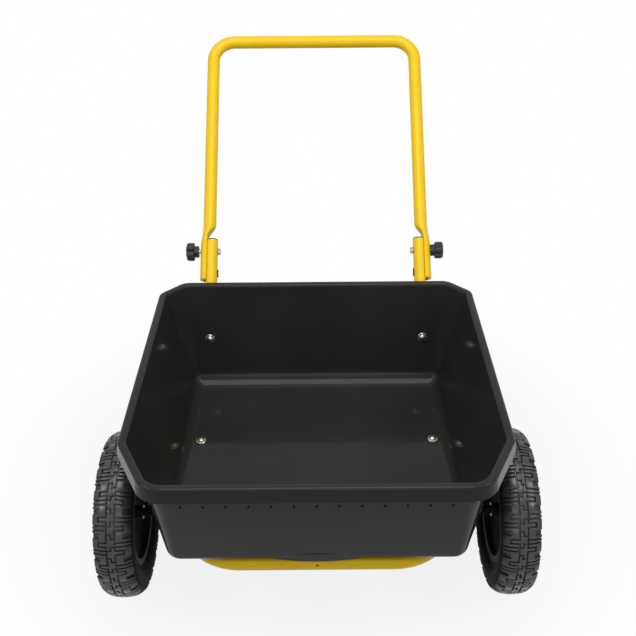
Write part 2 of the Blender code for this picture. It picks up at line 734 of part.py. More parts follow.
def build_stand(finish, zinc, rubber, parent):
    """The U-shaped leg behind the axle, bolted inside the rails, with two feet clipped to its bar."""
    leg_x = rail_x(STAND_Y) - TUBE_RADIUS - GAP - STAND_RADIUS
    top = TUB_UNDERSIDE - GAP
    bar_z = FOOT_SOLE + GAP + STAND_RADIUS
    corners = ((-leg_x, top), (-leg_x, bar_z), (leg_x, bar_z), (leg_x, top))
    points = [(x, STAND_Y, z) for x, z in corners]
    stations = bent_path(points, [STAND_BEND, STAND_BEND])
    stand = add_piece("stand_tube", hollow_tube(stations, stand_section), finish, parent)
    holes = []
    for name, side in SIDES.items():
        outboard = X_AXIS * side
        head = Vector((side * (rail_x(STAND_Y) + TUBE_RADIUS + GAP), STAND_Y, RAIL_Z))
        width = 2 * GAP + 2 * TUBE_RADIUS + 2 * STAND_RADIUS + GAP
        length = width + NUT_HEIGHT + THREAD_PAST_NUT
        hex_bolt("stand_bolt_" + name, head, -outboard, length, zinc, parent)
        nut("stand_nut_" + name, head - outboard * width, -outboard, zinc, parent)
        leg = Vector((side * leg_x, STAND_Y, RAIL_Z))
        holes.append((leg - X_AXIS * STAND_RADIUS * 2, leg + X_AXIS * STAND_RADIUS * 2))

        seat = STAND_RADIUS + GAP / math.cos(math.pi / SLIM_FACETS)
        arc = [-math.tau * step / SLIM_FACETS for step in range(SLIM_FACETS // 2 + 1)]
        outline = [(-FOOT_HALF_WIDTH, 0.0), (FOOT_HALF_WIDTH, 0.0), (FOOT_HALF_WIDTH, bar_z)]
        outline += [(seat * math.cos(angle), bar_z + seat * math.sin(angle)) for angle in arc]
        outline.append((-FOOT_HALF_WIDTH, bar_z))
        bm = bmesh.new()
        start = side * STAND_FOOT_X - FOOT_LENGTH / 2
        prism(bm, [(start, STAND_Y + y, z) for y, z in outline], (FOOT_LENGTH, 0.0, 0.0))
        add_piece("stand_foot_" + name, bm, rubber, parent)
    drill(stand, holes, finish, parent)


# Axle

HUB_END = WHEEL_CENTRE_X - HUB_LENGTH / 2 - BUSH_FLANGE
HUB_OUT = WHEEL_CENTRE_X + HUB_LENGTH / 2 + BUSH_FLANGE
WASHER_END = HUB_OUT + GAP + AXLE_WASHER_THICKNESS
AXLE_END = WASHER_END + AXLE_OVERHANG
BRACKET_INSIDE = TUBE_RADIUS + PAINT_CLEARANCE
BRACKET_OUT = rail_x(0.0) + BRACKET_INSIDE + BRACKET_PLATE


def build_axle(finish, zinc, paint, parent):
    """The steel rod under the rails, in two channel brackets, with what spaces the wheels."""
    profile = [(-AXLE_END, 0.0), (-AXLE_END, AXLE_RADIUS), (AXLE_END, AXLE_RADIUS), (AXLE_END, 0.0)]
    axle = add_piece("axle", turned(profile, PIN_FACETS), zinc, parent, Matrix.Translation((0, 0, AXLE_Z)))
    web_top = AXLE_Z - bore(AXLE_RADIUS, PIN_FACETS) - GAP
    pin_x = WASHER_END + GAP + COTTER_RADIUS + COTTER_INSET
    pin_holes = []
    for name, side in SIDES.items():
        outline = [
            (BRACKET_INSIDE, RAIL_Z),
            (BRACKET_INSIDE + BRACKET_PLATE, RAIL_Z),
            (BRACKET_INSIDE + BRACKET_PLATE, web_top - BRACKET_PLATE),
        ]
        outline += [(-x, z) for x, z in reversed(outline)]
        outline += [(-BRACKET_INSIDE, web_top), (BRACKET_INSIDE, web_top)]
        bm = bmesh.new()
        outline = [(side * rail_x(0.0) + x, -BRACKET_HALF_LENGTH, z) for x, z in outline]
        prism(bm, outline, (0.0, 2 * BRACKET_HALF_LENGTH, 0.0))
        bracket = add_piece("axle_bracket_" + name, bm, finish, parent)
        middle = Vector((side * rail_x(0.0), 0.0, AXLE_Z))
        reach = X_AXIS * TUBE_RADIUS * 2
        drill(bracket, [(middle - reach, middle + reach)], finish, parent, AXLE_RADIUS, PIN_FACETS)

        inner = bore(AXLE_RADIUS, PIN_FACETS)
        centre = Matrix.Translation((0, 0, AXLE_Z))
        spans = {
            "axle_spacer_": (BRACKET_OUT + GAP, HUB_END - GAP, SPACER_WALL, paint),
            "axle_washer_": (HUB_OUT + GAP, WASHER_END, AXLE_WASHER_WIDTH, zinc),
        }
        for piece, (start, end, wall, coating) in spans.items():
            profile = ring_profile(side * start, side * end, inner, inner + wall)
            add_piece(piece + name, turned(profile, PIN_FACETS), coating, parent, centre)

        pin = Vector((side * pin_x, 0.0, AXLE_Z))
        down = Vector((0.0, 0.0, COTTER_REACH))
        bm = bmesh.new()
        rod(bm, pin - down, pin + down, COTTER_RADIUS, SLIM_FACETS)
        add_piece("cotter_pin_" + name, bm, zinc, parent)
        pin_holes.append((pin - down * 2, pin + down * 2))
    drill(axle, pin_holes, zinc, parent, COTTER_RADIUS)


# Wheels

HUB_RADIUS = AXLE_RADIUS + BUSH_WALL + HUB_WALL


def tyre_half(inset):
    """Half of the tyre's section from crown to bead, as (half width, radius), set in by a distance."""
    half, height = TYRE_WIDTH / 2 - inset, WHEEL_RADIUS - BEAD_RADIUS - inset
    points = [(half * across, BEAD_RADIUS + height * share) for across, share in TYRE_OUTLINE]
    seat = RIM_WIDTH / 2 - inset
    return points[:-1] + [(seat, points[-1][1]), (seat, BEAD_RADIUS + GAP)]


def build_tyre(name, finish, parent):
    """The pneumatic tyre: an open ring with two beads that sit on the rim."""
    outer = tyre_half(0.0)
    inner = tyre_half(TYRE_WALL)[::2] + tyre_half(TYRE_WALL)[-1:]
    profile = inner[:1] + [(-x, r) for x, r in inner[1:] + outer[:0:-1]] + outer + inner[:0:-1]
    return add_piece("tyre_" + name, turned(profile, WHEEL_FACETS), finish, parent)


def rim_half(side):
    """The section of one pressed half of the rim: hub hole, flat web, slope, bead seat and flange."""
    hole = bore(HUB_RADIUS, WHEEL_FACETS)
    seat = BEAD_RADIUS - RIM_SHEET - GAP
    edge = RIM_WIDTH / 2
    web = GAP / 2
    near = [
        (web, hole),
        (web, RIM_WEB_RADIUS),
        (edge - RIM_SLOPE, seat + RIM_SHEET),
        (edge + GAP, seat + RIM_SHEET),
        (edge + GAP, seat + RIM_SHEET + RIM_FLANGE),
    ]
    far = [
        (edge + GAP + RIM_SHEET, seat + RIM_SHEET + RIM_FLANGE),
        (edge + GAP + RIM_SHEET, seat),
        (edge - RIM_SLOPE + RIM_SHEET / 2, seat),
        (web + RIM_SHEET, RIM_WEB_RADIUS - RIM_SHEET / 2),
        (web + RIM_SHEET, hole),
    ]
    return [(side * x, r) for x, r in near + far]


def build_wheel(name, side, finishes, parent):
    """Tyre, inner tube, two rim halves, hub, bushes and valve, all centred on the axle."""
    build_tyre(name, finishes["tyre"], parent)
    steel, rubber, plastic = finishes["rim"], finishes["rubber"], finishes["plastic"]
    lean = math.radians(VALVE_LEAN_DEG)
    stem_way = Vector((side * math.sin(lean), 0.0, -math.cos(lean)))
    crossing = Vector((side * VALVE_OFFSET, 0.0, mixed(RIM_WEB_RADIUS, BEAD_RADIUS, 0.5)))
    tube_ring = mixed(BEAD_RADIUS, WHEEL_RADIUS - TYRE_WALL, 0.5)
    stem_start = crossing - stem_way * VALVE_LENGTH * 0.62
    stem_end = stem_start + stem_way * VALVE_LENGTH
    valve_hole = (crossing - stem_way * VALVE_LENGTH * 0.7, crossing + stem_way * VALVE_LENGTH * 0.5)

    section = [(x, tube_ring + r) for x, r in circle_points(TUBE_SECTION_RADIUS, 8)]
    cavity = [(x, tube_ring + r) for x, r in circle_points(TUBE_SECTION_RADIUS - TUBE_SECTION_WALL, 6)]
    tube = add_piece("inner_tube_" + name, turned(section, WHEEL_FACETS), rubber, parent)
    carve(tube, add_piece("inner_tube_cavity_" + name, turned(cavity, WHEEL_FACETS), rubber, parent))
    drill(tube, [valve_hole], rubber, parent, VALVE_RADIUS)

    rim = add_piece("rim_outer_" + name, turned(rim_half(side), WHEEL_FACETS), steel, parent)
    drill(rim, [valve_hole], steel, parent, VALVE_RADIUS)
    add_piece("rim_inner_" + name, turned(rim_half(-side), WHEEL_FACETS), steel, parent)

    bush_radius = AXLE_RADIUS + BUSH_WALL
    profile = ring_profile(-HUB_LENGTH / 2, HUB_LENGTH / 2, bore(bush_radius, PIN_FACETS), HUB_RADIUS)
    add_piece("hub_" + name, turned(profile, WHEEL_FACETS // 2), steel, parent)
    hole = bore(AXLE_RADIUS, PIN_FACETS)
    for end, way in (("outer", side), ("inner", -side)):
        face = HUB_LENGTH / 2 + GAP
        profile = [
            (way * (face - BUSH_SLEEVE), hole),
            (way * (face + BUSH_FLANGE - GAP), hole),
            (way * (face + BUSH_FLANGE - GAP), HUB_RADIUS),
            (way * face, HUB_RADIUS),
            (way * face, bush_radius),
            (way * (face - BUSH_SLEEVE), bush_radius),
        ]
        add_piece("bush_" + end + "_" + name, turned(profile, PIN_FACETS), plastic, parent)

    length = VALVE_LENGTH
    profile = [(0.0, 0.0), (0.0, VALVE_RADIUS), (length * 0.7, VALVE_RADIUS)]
    profile += [(length * 0.7, VALVE_RADIUS * 0.7), (length, VALVE_RADIUS * 0.7), (length, 0.0)]
    add_piece("valve_stem_" + name, turned(profile, SLIM_FACETS), rubber, parent, aim(stem_start, stem_way))
    cap = stem_end - stem_way * (VALVE_CAP_LENGTH * 0.7)
    cap_bore = bore(VALVE_RADIUS * 0.7, SLIM_FACETS)
    depth = VALVE_CAP_LENGTH * 0.7 + GAP
    profile = [(depth, 0.0), (depth, cap_bore), (0.0, cap_bore), (0.0, VALVE_CAP_RADIUS)]
    profile += [(VALVE_CAP_LENGTH, VALVE_CAP_RADIUS), (VALVE_CAP_LENGTH, 0.0)]
    add_piece("valve_cap_" + name, turned(profile, SLIM_FACETS), plastic, parent, aim(cap, stem_way))


# Handle

PRESSED_FACE = STUB_X + STUB_FLAT + GAP - HANDLE_HALF_WIDTH


def pressed_points(inset):
    """The half-round outline that the tube's ends are pressed to, flat on the side towards the frame."""
    made = []
    for out, over in circle_points(1.0, TUBE_FACETS):
        depth = (PRESSED_DEPTH - 2 * inset) * max(out, 0.0) ** 0.8
        made.append((PRESSED_FACE + inset + depth, (PRESSED_HALF_WIDTH - inset * 1.3) * over))
    return made


def handle_section(total):
    """The handle's outline: half-round at each end, then easing back and inboard to the round tube."""

    def section(distance, inset):
        wall = TUBE_WALL if inset else 0.0
        past_bolt = min(distance, total - distance) - TAIL_LENGTH
        inner, outer = (eased((past_bolt - start) / (end - start)) for start, end in (INNER_JOG, OUTER_JOG))
        points = []
        for full, flat in zip(circle_points(TUBE_RADIUS - wall, TUBE_FACETS), pressed_points(wall)):
            share = mixed(inner, outer, max(full[0], 0.0) / (TUBE_RADIUS - wall))
            points.append((mixed(flat[0], full[0], share), mixed(flat[1], full[1], share)))
        return points

    return section


def build_handle(finish, parent):
    """The U-shaped push handle, bent from one tube and turning about the line of the pivot bolts."""
    tail, top = HANDLE_DIRECTION * -TAIL_LENGTH, HANDLE_DIRECTION * HANDLE_LENGTH
    left, right = X_AXIS * -HANDLE_HALF_WIDTH, X_AXIS * HANDLE_HALF_WIDTH
    jog = [TAIL_LENGTH + mixed(OUTER_JOG[0], INNER_JOG[0], step / 2) for step in range(2)]
    jog += [TAIL_LENGTH + mixed(*INNER_JOG, step / 4) for step in range(5)]
    points = [left + tail, left + top, right + top, right + tail]
    stations = bent_path(points, [HANDLE_BEND, HANDLE_BEND], extra=jog)
    tube = hollow_tube(stations, handle_section(stations[-1][3]))
    handle = add_piece("handle_tube", tube, finish, parent)
    holes = []
    for side in SIDES.values():
        start = X_AXIS * side * (HANDLE_HALF_WIDTH - TUBE_RADIUS)
        holes.append((start, start + X_AXIS * side * TUBE_RADIUS * 4))
    drill(handle, holes, finish, parent)


def build_pivots(zinc, plastic, brass, base):
    """On each side a bolt through stub and handle, its washer, and the star knob that clamps them."""
    for name, side in SIDES.items():
        outboard = X_AXIS * side
        stub_face = STUB_X - TUBE_RADIUS
        head = PIVOT + outboard * (stub_face - 2 * GAP - WASHER_THICKNESS)
        pressed_outside = HANDLE_HALF_WIDTH + PRESSED_FACE + PRESSED_DEPTH
        hub_face = pressed_outside + KNOB_GAP[name]
        bolt_end = hub_face + INSERT_LENGTH - GAP
        length = bolt_end - (stub_face - 2 * GAP - WASHER_THICKNESS)
        hex_bolt("handle_bolt_" + name, head, outboard, length, zinc, base)
        washer = ring_profile(0.0, WASHER_THICKNESS, bore(BOLT_RADIUS, PIN_FACETS), WASHER_RADIUS)
        place = PIVOT + outboard * (stub_face - GAP - WASHER_THICKNESS)
        add_piece("handle_washer_" + name, turned(washer, PIN_FACETS), zinc, base, aim(place, outboard))

        pivot = empty("knob_axis_" + name, PIVOT + outboard * hub_face, base)
        insert = bore(INSERT_RADIUS, PIN_FACETS)
        depth = INSERT_LENGTH + GAP
        head_start, head_end = KNOB_HUB_LENGTH, KNOB_HUB_LENGTH + KNOB_HEAD
        profile = [
            (depth, 0.0),
            (depth, insert),
            (0.0, insert),
            (0.0, KNOB_HUB_RADIUS),
            (head_start, KNOB_HUB_RADIUS),
            (head_start, KNOB_RADIUS - KNOB_CROWN / 4),
            (head_start + KNOB_CROWN / 2, KNOB_RADIUS),
            (head_end - KNOB_CROWN, KNOB_RADIUS),
            (head_end - KNOB_CROWN / 4, KNOB_RADIUS - KNOB_CROWN * 3 / 4),
            (head_end, KNOB_HUB_RADIUS),
            (head_end, 0.0),
        ]
        bm = turned([(x * side, r) for x, r in profile], KNOB_LOBES * 4)
        for vert in bm.verts:
            distance = math.hypot(vert.co.y, vert.co.z)
            if distance > KNOB_HUB_RADIUS * 1.1:
                angle = math.atan2(vert.co.y, vert.co.z)
                dip = KNOB_LOBE_DEPTH * (1 - math.cos(KNOB_LOBES * angle)) / 2
                vert.co.yz = vert.co.yz * ((distance - dip) / distance)
        add_piece("knob_" + name, bm, plastic, pivot)
        profile = ring_profile(0.0, side * INSERT_LENGTH, bore(BOLT_RADIUS, PIN_FACETS), INSERT_RADIUS)
        add_piece("knob_insert_" + name, turned(profile, PIN_FACETS), brass, pivot)


def build_cart():
    """Clears the scene and puts the cart together from the tub outwards."""
    for obj in list(bpy.data.objects):
        bpy.data.objects.remove(obj)
    yellow = material("yellow_powder_coat", (0.89, 0.58, 0.02), 0.35)
    black_tub = material("black_polyethylene", (0.022, 0.022, 0.021), 0.22)
    zinc = material("yellow_zinc", (0.62, 0.60, 0.50), 0.35, 1.0)
    black_plastic = material("black_nylon", (0.03, 0.03, 0.03), 0.5)
    rubber = material("black_rubber", (0.03, 0.03, 0.03), 0.75)
    tyre = material("tyre_rubber", (0.05, 0.05, 0.048), 0.8)
    rim = material("black_rim_paint", (0.03, 0.03, 0.03), 0.4)
    brass = material("brass_insert", (0.70, 0.52, 0.22), 0.35, 1.0)

    base = empty("cart_base", (0.0, BASE_Y, 0.0))
    tub = build_tub(black_tub, base)
    build_frame(yellow, base)
    build_frame_trim(black_plastic, base)
    build_tub_fasteners(tub, zinc, base)
    build_stand(yellow, zinc, rubber, base)
    build_axle(yellow, zinc, rim, base)
    finishes = {"tyre": tyre, "rim": rim, "rubber": rubber, "plastic": black_plastic}
    for name, side in SIDES.items():
        centre = empty("wheel_centre_" + name, (side * WHEEL_CENTRE_X, 0.0, AXLE_Z), base)
        build_wheel(name, side, finishes, centre)
    pivot = empty("handle_pivot", PIVOT, base)
    build_handle(yellow, pivot)
    build_pivots(zinc, black_plastic, brass, base)


build_cart()
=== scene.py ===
"""The looks of a yard cart: a black moulded tub on a yellow bent-tube frame, with a folding handle."""

import json
import math

import bmesh
import bpy
from mathutils import Matrix, Vector


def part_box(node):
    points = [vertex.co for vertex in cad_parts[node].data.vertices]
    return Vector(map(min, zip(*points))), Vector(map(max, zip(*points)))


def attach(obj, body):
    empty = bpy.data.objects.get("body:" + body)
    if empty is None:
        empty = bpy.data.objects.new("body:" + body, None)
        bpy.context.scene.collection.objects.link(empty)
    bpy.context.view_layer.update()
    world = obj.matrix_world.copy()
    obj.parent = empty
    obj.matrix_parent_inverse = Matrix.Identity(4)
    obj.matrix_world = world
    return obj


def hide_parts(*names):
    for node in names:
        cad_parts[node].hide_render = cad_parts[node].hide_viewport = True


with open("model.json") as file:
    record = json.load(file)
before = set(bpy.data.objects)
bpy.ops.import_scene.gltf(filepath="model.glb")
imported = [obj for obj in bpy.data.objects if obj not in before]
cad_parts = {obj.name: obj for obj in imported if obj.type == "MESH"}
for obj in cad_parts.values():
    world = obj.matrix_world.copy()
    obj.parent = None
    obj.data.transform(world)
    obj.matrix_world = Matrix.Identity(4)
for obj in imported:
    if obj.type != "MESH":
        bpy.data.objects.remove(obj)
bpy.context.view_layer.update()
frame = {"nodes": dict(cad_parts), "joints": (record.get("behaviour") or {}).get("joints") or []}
nodes = frame["nodes"]
joints = {joint["name"]: joint for joint in frame["joints"]}
SIDES = {"left": -1.0, "right": 1.0}
X_AXIS = Vector((1.0, 0.0, 0.0))


# Tub. One moulding of glossy black polyethylene: a flat floor, leaning walls with cut-off corners, and a
# flat flange whose edge turns down into a skirt. A row of blind holes runs under the skirt at the front.
axle_low, axle_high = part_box("axle")
AXLE_Y = (axle_low.y + axle_high.y) / 2
AXLE_Z = (axle_low.z + axle_high.z) / 2
tub_low, tub_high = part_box("tub")
TUB_WALL = 0.004
TUB_DEPTH = 0.2475
SKIRT_FLARE = 0.003
SKIRT_DEPTH = 0.031
FLANGE_WIDTH = 0.016
FLANGE_EDGE = 0.005
RIM_Z = tub_high.z
RIM_HALF_WIDTH = tub_high.x - SKIRT_FLARE
RIM_FRONT = tub_low.y + SKIRT_FLARE
RIM_REAR = tub_high.y - SKIRT_FLARE
FLOOR_Z = RIM_Z - TUB_DEPTH
TUB_UNDERSIDE = FLOOR_Z - TUB_WALL
FLOOR_HALF_WIDTH = RIM_HALF_WIDTH - 0.0741
FLOOR_FRONT = AXLE_Y - 0.2017
FLOOR_REAR = AXLE_Y + 0.377
REAR_FILLET = 0.031
SIDE_FILLET = 0.020
FRONT_FILLET = 0.010
RIM_FRONT_CUT = (0.0645, 0.128)
RIM_REAR_CUT = (0.052, 0.052)
FLOOR_FRONT_CUT = (0.013, 0.040)
FLOOR_REAR_CUT = (0.006, 0.006)
MOUTH_RADII = (0.040, 0.008, 0.012, 0.020)
FLOOR_RADII = (0.016, 0.030, 0.006, 0.008)
SMALLEST_RADIUS = 0.002
CORNER_STEPS = 10
FILLET_STEPS = 10
EDGE_HOLD = 0.001
HOLE_RADIUS = 0.0022
HOLE_PITCH = 0.041
HOLE_COUNT = 13
HOLE_Z = RIM_Z - 0.0686
HOLE_DEPTH = 0.0024


def surface(finish):
    """The inputs of a material's Principled shader."""
    return finish.node_tree.nodes["Principled BSDF"].inputs


def new_finish(name, slot, colour, roughness, metallic=0.0, specular=0.5):
    """A Principled material that stands for one of the record's slots."""
    made = bpy.data.materials.new(name)
    made.use_nodes = True
    made["slot"] = slot
    inputs = surface(made)
    inputs["Base Color"].default_value = (*colour, 1.0)
    inputs["Roughness"].default_value = roughness
    inputs["Metallic"].default_value = metallic
    inputs["Specular IOR Level"].default_value = specular
    return made


def noise(finish, scale, detail):
    """Noise on the object's own coordinates, with a number of waves per metre."""
    tree = finish.node_tree
    place = tree.nodes.new("ShaderNodeTexCoord")
    made = tree.nodes.new("ShaderNodeTexNoise")
    made.inputs["Scale"].default_value = scale
    made.inputs["Detail"].default_value = detail
    tree.links.new(place.outputs["Object"], made.inputs["Vector"])
    return made.outputs["Fac"]


def tint(finish, scale, dark, light, detail=2.0):
    """Colours the surface between two tones by noise."""
    source = noise(finish, scale, detail)
    tree = finish.node_tree
    ramp = tree.nodes.new("ShaderNodeValToRGB")
    ramp.color_ramp.elements[0].position = 0.35
    ramp.color_ramp.elements[0].color = (*dark, 1.0)
    ramp.color_ramp.elements[1].position = 0.65
    ramp.color_ramp.elements[1].color = (*light, 1.0)
    tree.links.new(source, ramp.inputs["Fac"])
    tree.links.new(ramp.outputs["Color"], surface(finish)["Base Color"])


def spread(tree, source, start, end, low, high):
    """Maps a source from one span to another, and gives the node."""
    made = tree.nodes.new("ShaderNodeMapRange")
    for name, value in (("From Min", start), ("From Max", end), ("To Min", low), ("To Max", high)):
        made.inputs[name].default_value = value
    tree.links.new(source, made.inputs["Value"])
    return made


def vary_roughness(finish, scale, low, high):
    """Spreads the roughness between two values by noise."""
    tree = finish.node_tree
    made = spread(tree, noise(finish, scale, 2.0), 0.3, 0.7, low, high)
    tree.links.new(made.outputs["Result"], surface(finish)["Roughness"])


def bump(finish, scale, height, under=None, detail=2.0):
    """Raises the surface by noise, with a height in metres, over another bump if one is given."""
    source = noise(finish, scale, detail)
    tree = finish.node_tree
    made = tree.nodes.new("ShaderNodeBump")
    made.inputs["Strength"].default_value = 1.0
    made.inputs["Distance"].default_value = height
    tree.links.new(source, made.inputs["Height"])
    if under:
        tree.links.new(under, made.inputs["Normal"])
    tree.links.new(made.outputs["Normal"], surface(finish)["Normal"])
    return made.outputs["Normal"]


def coat(piece, finish):
    """Gives a piece one material, and the record's slot that goes with it."""
    piece.data.materials.clear()
    piece.data.materials.append(finish)
    return piece


def mesh_from(name, bm):
    """Turns a bmesh into a mesh."""
    mesh = bpy.data.meshes.new(name)
    bm.to_mesh(mesh)
    bm.free()
    return mesh


def place_object(name, data):
    """Puts an object with some data in the scene."""
    made = bpy.data.objects.new(name, data)
    bpy.context.scene.collection.objects.link(made)
    return made


def add_piece(name, bm, finish, *stands_for, body="chassis", sharp=35):
    """Turns a bmesh into a smooth-shaded piece that rides on a body and stands for CAD nodes."""
    bmesh.ops.remove_doubles(bm, verts=bm.verts, dist=1e-6)
    bmesh.ops.recalc_face_normals(bm, faces=bm.faces)
    mesh = mesh_from(name, bm)
    mesh.shade_smooth()
    mesh.set_sharp_from_angle(angle=math.radians(sharp))
    piece = place_object(name, mesh)
    coat(piece, finish)
    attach(piece, body)
    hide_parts(*stands_for)
    return piece


def aimed(place, way, up="X"):
    """The matrix that takes the Z axis to a direction, and the origin to a place."""
    turn = Vector(way).normalized().to_track_quat("Z", up)
    return Matrix.Translation(place) @ turn.to_matrix().to_4x4()


def cylinder(bm, radius, depth, matrix, segments):
    """Adds a closed cylinder, centred on its matrix."""
    bmesh.ops.create_cone(
        bm, cap_ends=True, segments=segments, radius1=radius, radius2=radius, depth=depth, matrix=matrix
    )


def cut(piece, cutter):
    """Cuts the shapes of a bmesh out of a piece, and keeps the result as its mesh."""
    tool = place_object("cutter", mesh_from("cutter", cutter))
    difference = piece.modifiers.new("cut", "BOOLEAN")
    difference.operation = "DIFFERENCE"
    difference.solver = "EXACT"
    difference.object = tool
    graph = bpy.context.evaluated_depsgraph_get()
    piece.data = bpy.data.meshes.new_from_object(piece.evaluated_get(graph))
    piece.modifiers.clear()
    bpy.data.objects.remove(tool)


def edges_among(geometry, verts):
    """The edges of some geometry whose two ends are both among some vertices."""
    edges = [item for item in geometry if isinstance(item, bmesh.types.BMEdge)]
    return [edge for edge in edges if verts.issuperset(edge.verts)]


def verts_of(geometry):
    """The vertices of some geometry."""
    return [item for item in geometry if isinstance(item, bmesh.types.BMVert)]


def skin(bm, rings):
    """Extrudes one ring of points to the next, with a face over each end."""
    verts = [bm.verts.new(point) for point in rings[0]]
    edges = [bm.edges.new(pair) for pair in zip(verts, verts[1:] + verts[:1])]
    bm.faces.new(verts)
    for ring in rings[1:]:
        made = bmesh.ops.extrude_edge_only(bm, edges=edges)["geom"]
        fresh = set(verts_of(made))
        edges = edges_among(made, fresh)
        verts = [next(e.other_vert(v) for e in v.link_edges if e.other_vert(v) in fresh) for v in verts]
        for vert, point in zip(verts, ring):
            vert.co = point
    bm.faces.new(verts)


def tub_corners(half_width, front, rear, front_cut, rear_cut):
    """The eight corners of the tub's outline, anticlockwise from the front right."""
    right = [
        Vector((half_width - front_cut[0], front)),
        Vector((half_width, front + front_cut[1])),
        Vector((half_width, rear - rear_cut[1])),
        Vector((half_width - rear_cut[0], rear)),
    ]
    return right + [Vector((-point.x, point.y)) for point in reversed(right)]


def with_neighbours(corners):
    """Each corner of a closed outline, between the one before it and the one after it."""
    return zip(corners[-1:] + corners[:-1], corners, corners[1:] + corners[:1])


def moved_out(corners, distance):
    """The corners where the outline's sides meet when each side moves outwards."""
    made = []
    for before, here, after in with_neighbours(corners):
        into, out = (here - before).normalized(), (after - here).normalized()
        normal = Vector((into.y, -into.x))
        middle = (normal + Vector((out.y, -out.x))).normalized()
        made.append(here + middle * (distance / middle.dot(normal)))
    return made


def rounded(corners, radii, height):
    """A ring at one height, with each corner rounded and a holding point on each side of the arc."""
    ring = []
    sizes = list(radii) + list(reversed(radii))
    for (before, here, after), radius in zip(with_neighbours(corners), sizes):
        into, out = (here - before).normalized(), (after - here).normalized()
        angle = into.angle(out)
        reach = radius * math.tan(angle / 2)
        start = here - into * reach
        centre = start + Vector((-into.y, into.x)) * radius
        ring.append(start - into * EDGE_HOLD)
        for step in range(CORNER_STEPS + 1):
            ring.append(centre + Matrix.Rotation(angle * step / CORNER_STEPS, 2) @ (start - centre))
        ring.append(here + out * (reach + EDGE_HOLD))
    return [(point.x, point.y, height) for point in ring]


RIM_CORNERS = tub_corners(RIM_HALF_WIDTH, RIM_FRONT, RIM_REAR, RIM_FRONT_CUT, RIM_REAR_CUT)
MOUTH_CORNERS = moved_out(RIM_CORNERS, -FLANGE_WIDTH)
FLOOR_CORNERS = tub_corners(FLOOR_HALF_WIDTH, FLOOR_FRONT, FLOOR_REAR, FLOOR_FRONT_CUT, FLOOR_REAR_CUT)
REAR_LEAN = math.atan2(MOUTH_CORNERS[3].y - FLOOR_REAR, TUB_DEPTH)
FRONT_LEAN = math.atan2(FLOOR_FRONT - MOUTH_CORNERS[0].y, TUB_DEPTH)
WALL_OUT = TUB_WALL / math.cos(FRONT_LEAN)


def wall_ring(height, out, drawn_in=(0.0, 0.0, 0.0)):
    """A ring on the wall at a height, moved outwards, with the side, front and rear walls drawn in."""
    share = (height - FLOOR_Z) / TUB_DEPTH
    corners = []
    for low, high in zip(FLOOR_CORNERS, MOUTH_CORNERS):
        along = drawn_in[1] if low.y < AXLE_Y else -drawn_in[2]
        corners.append(low.lerp(high, share) + Vector((-math.copysign(drawn_in[0], low.x), along)))
    radii = [low + (high - low) * share + out for low, high in zip(FLOOR_RADII, MOUTH_RADII)]
    return rounded(moved_out(corners, out), [max(radius, SMALLEST_RADIUS) for radius in radii], height)


def rim_ring(height, out):
    """A ring on the flange or skirt, moved outwards from the rim's outer edge."""
    radii = [radius + FLANGE_WIDTH + out for radius in MOUTH_RADII]
    return rounded(moved_out(RIM_CORNERS, out), radii, height)


def fillet_rings(bottom, grow, out):
    """Rings from inside the floor's edge up to where its fillet meets the wall."""
    made = []
    for step in range(-1, FILLET_STEPS + 1):
        height = (REAR_FILLET + grow) * (1 - math.cos(math.radians(90 * max(step, 0) / FILLET_STEPS)))
        drawn_in = []
        for size in (SIDE_FILLET + grow, FRONT_FILLET + grow, REAR_FILLET + grow):
            inwards = size - math.sqrt(size**2 - max(size - height, 0.0) ** 2)
            drawn_in.append(inwards + (EDGE_HOLD if step < 0 else 0.0))
        made.append(wall_ring(bottom + height, out, drawn_in))
    return made + [wall_ring(bottom + REAR_FILLET + grow + EDGE_HOLD, out)]


def quarter(start, steps=5):
    """Sines and cosines of a quarter turn, from a start in quarter turns."""
    angles = [math.pi / 2 * (start + step / steps) for step in range(steps + 1)]
    return [(math.cos(angle), math.sin(angle)) for angle in angles]


skirt_bottom = RIM_Z - SKIRT_DEPTH
edge_z = RIM_Z - FLANGE_EDGE
rings = fillet_rings(FLOOR_Z, 0.0, 0.0) + [wall_ring(edge_z - EDGE_HOLD, 0.0)]
rings += [wall_ring(edge_z + FLANGE_EDGE * up, FLANGE_EDGE * (1 - over)) for over, up in quarter(0)]
rings += [wall_ring(RIM_Z, FLANGE_EDGE + EDGE_HOLD), rim_ring(RIM_Z, -FLANGE_EDGE - EDGE_HOLD)]
for over, up in reversed(quarter(0)):
    rings.append(rim_ring(edge_z + FLANGE_EDGE * up, -FLANGE_EDGE * (1 - over)))
rings.append(rim_ring(edge_z - EDGE_HOLD, SKIRT_FLARE * EDGE_HOLD / SKIRT_DEPTH))
rings.append(rim_ring(skirt_bottom + EDGE_HOLD, SKIRT_FLARE))
lip = TUB_WALL / 2
for over, up in quarter(0)[:1] + quarter(-1)[::-1][1:] + quarter(-2)[::-1][1:]:
    rings.append(rim_ring(skirt_bottom + lip * (1 + up), SKIRT_FLARE - lip + lip * over))
rings += [rim_ring(RIM_Z - TUB_WALL, -TUB_WALL), wall_ring(RIM_Z - TUB_WALL, WALL_OUT)]
rings += [wall_ring(RIM_Z - TUB_WALL - EDGE_HOLD, WALL_OUT)]
rings += reversed(fillet_rings(TUB_UNDERSIDE, TUB_WALL, WALL_OUT))
bm = bmesh.new()
skin(bm, rings)

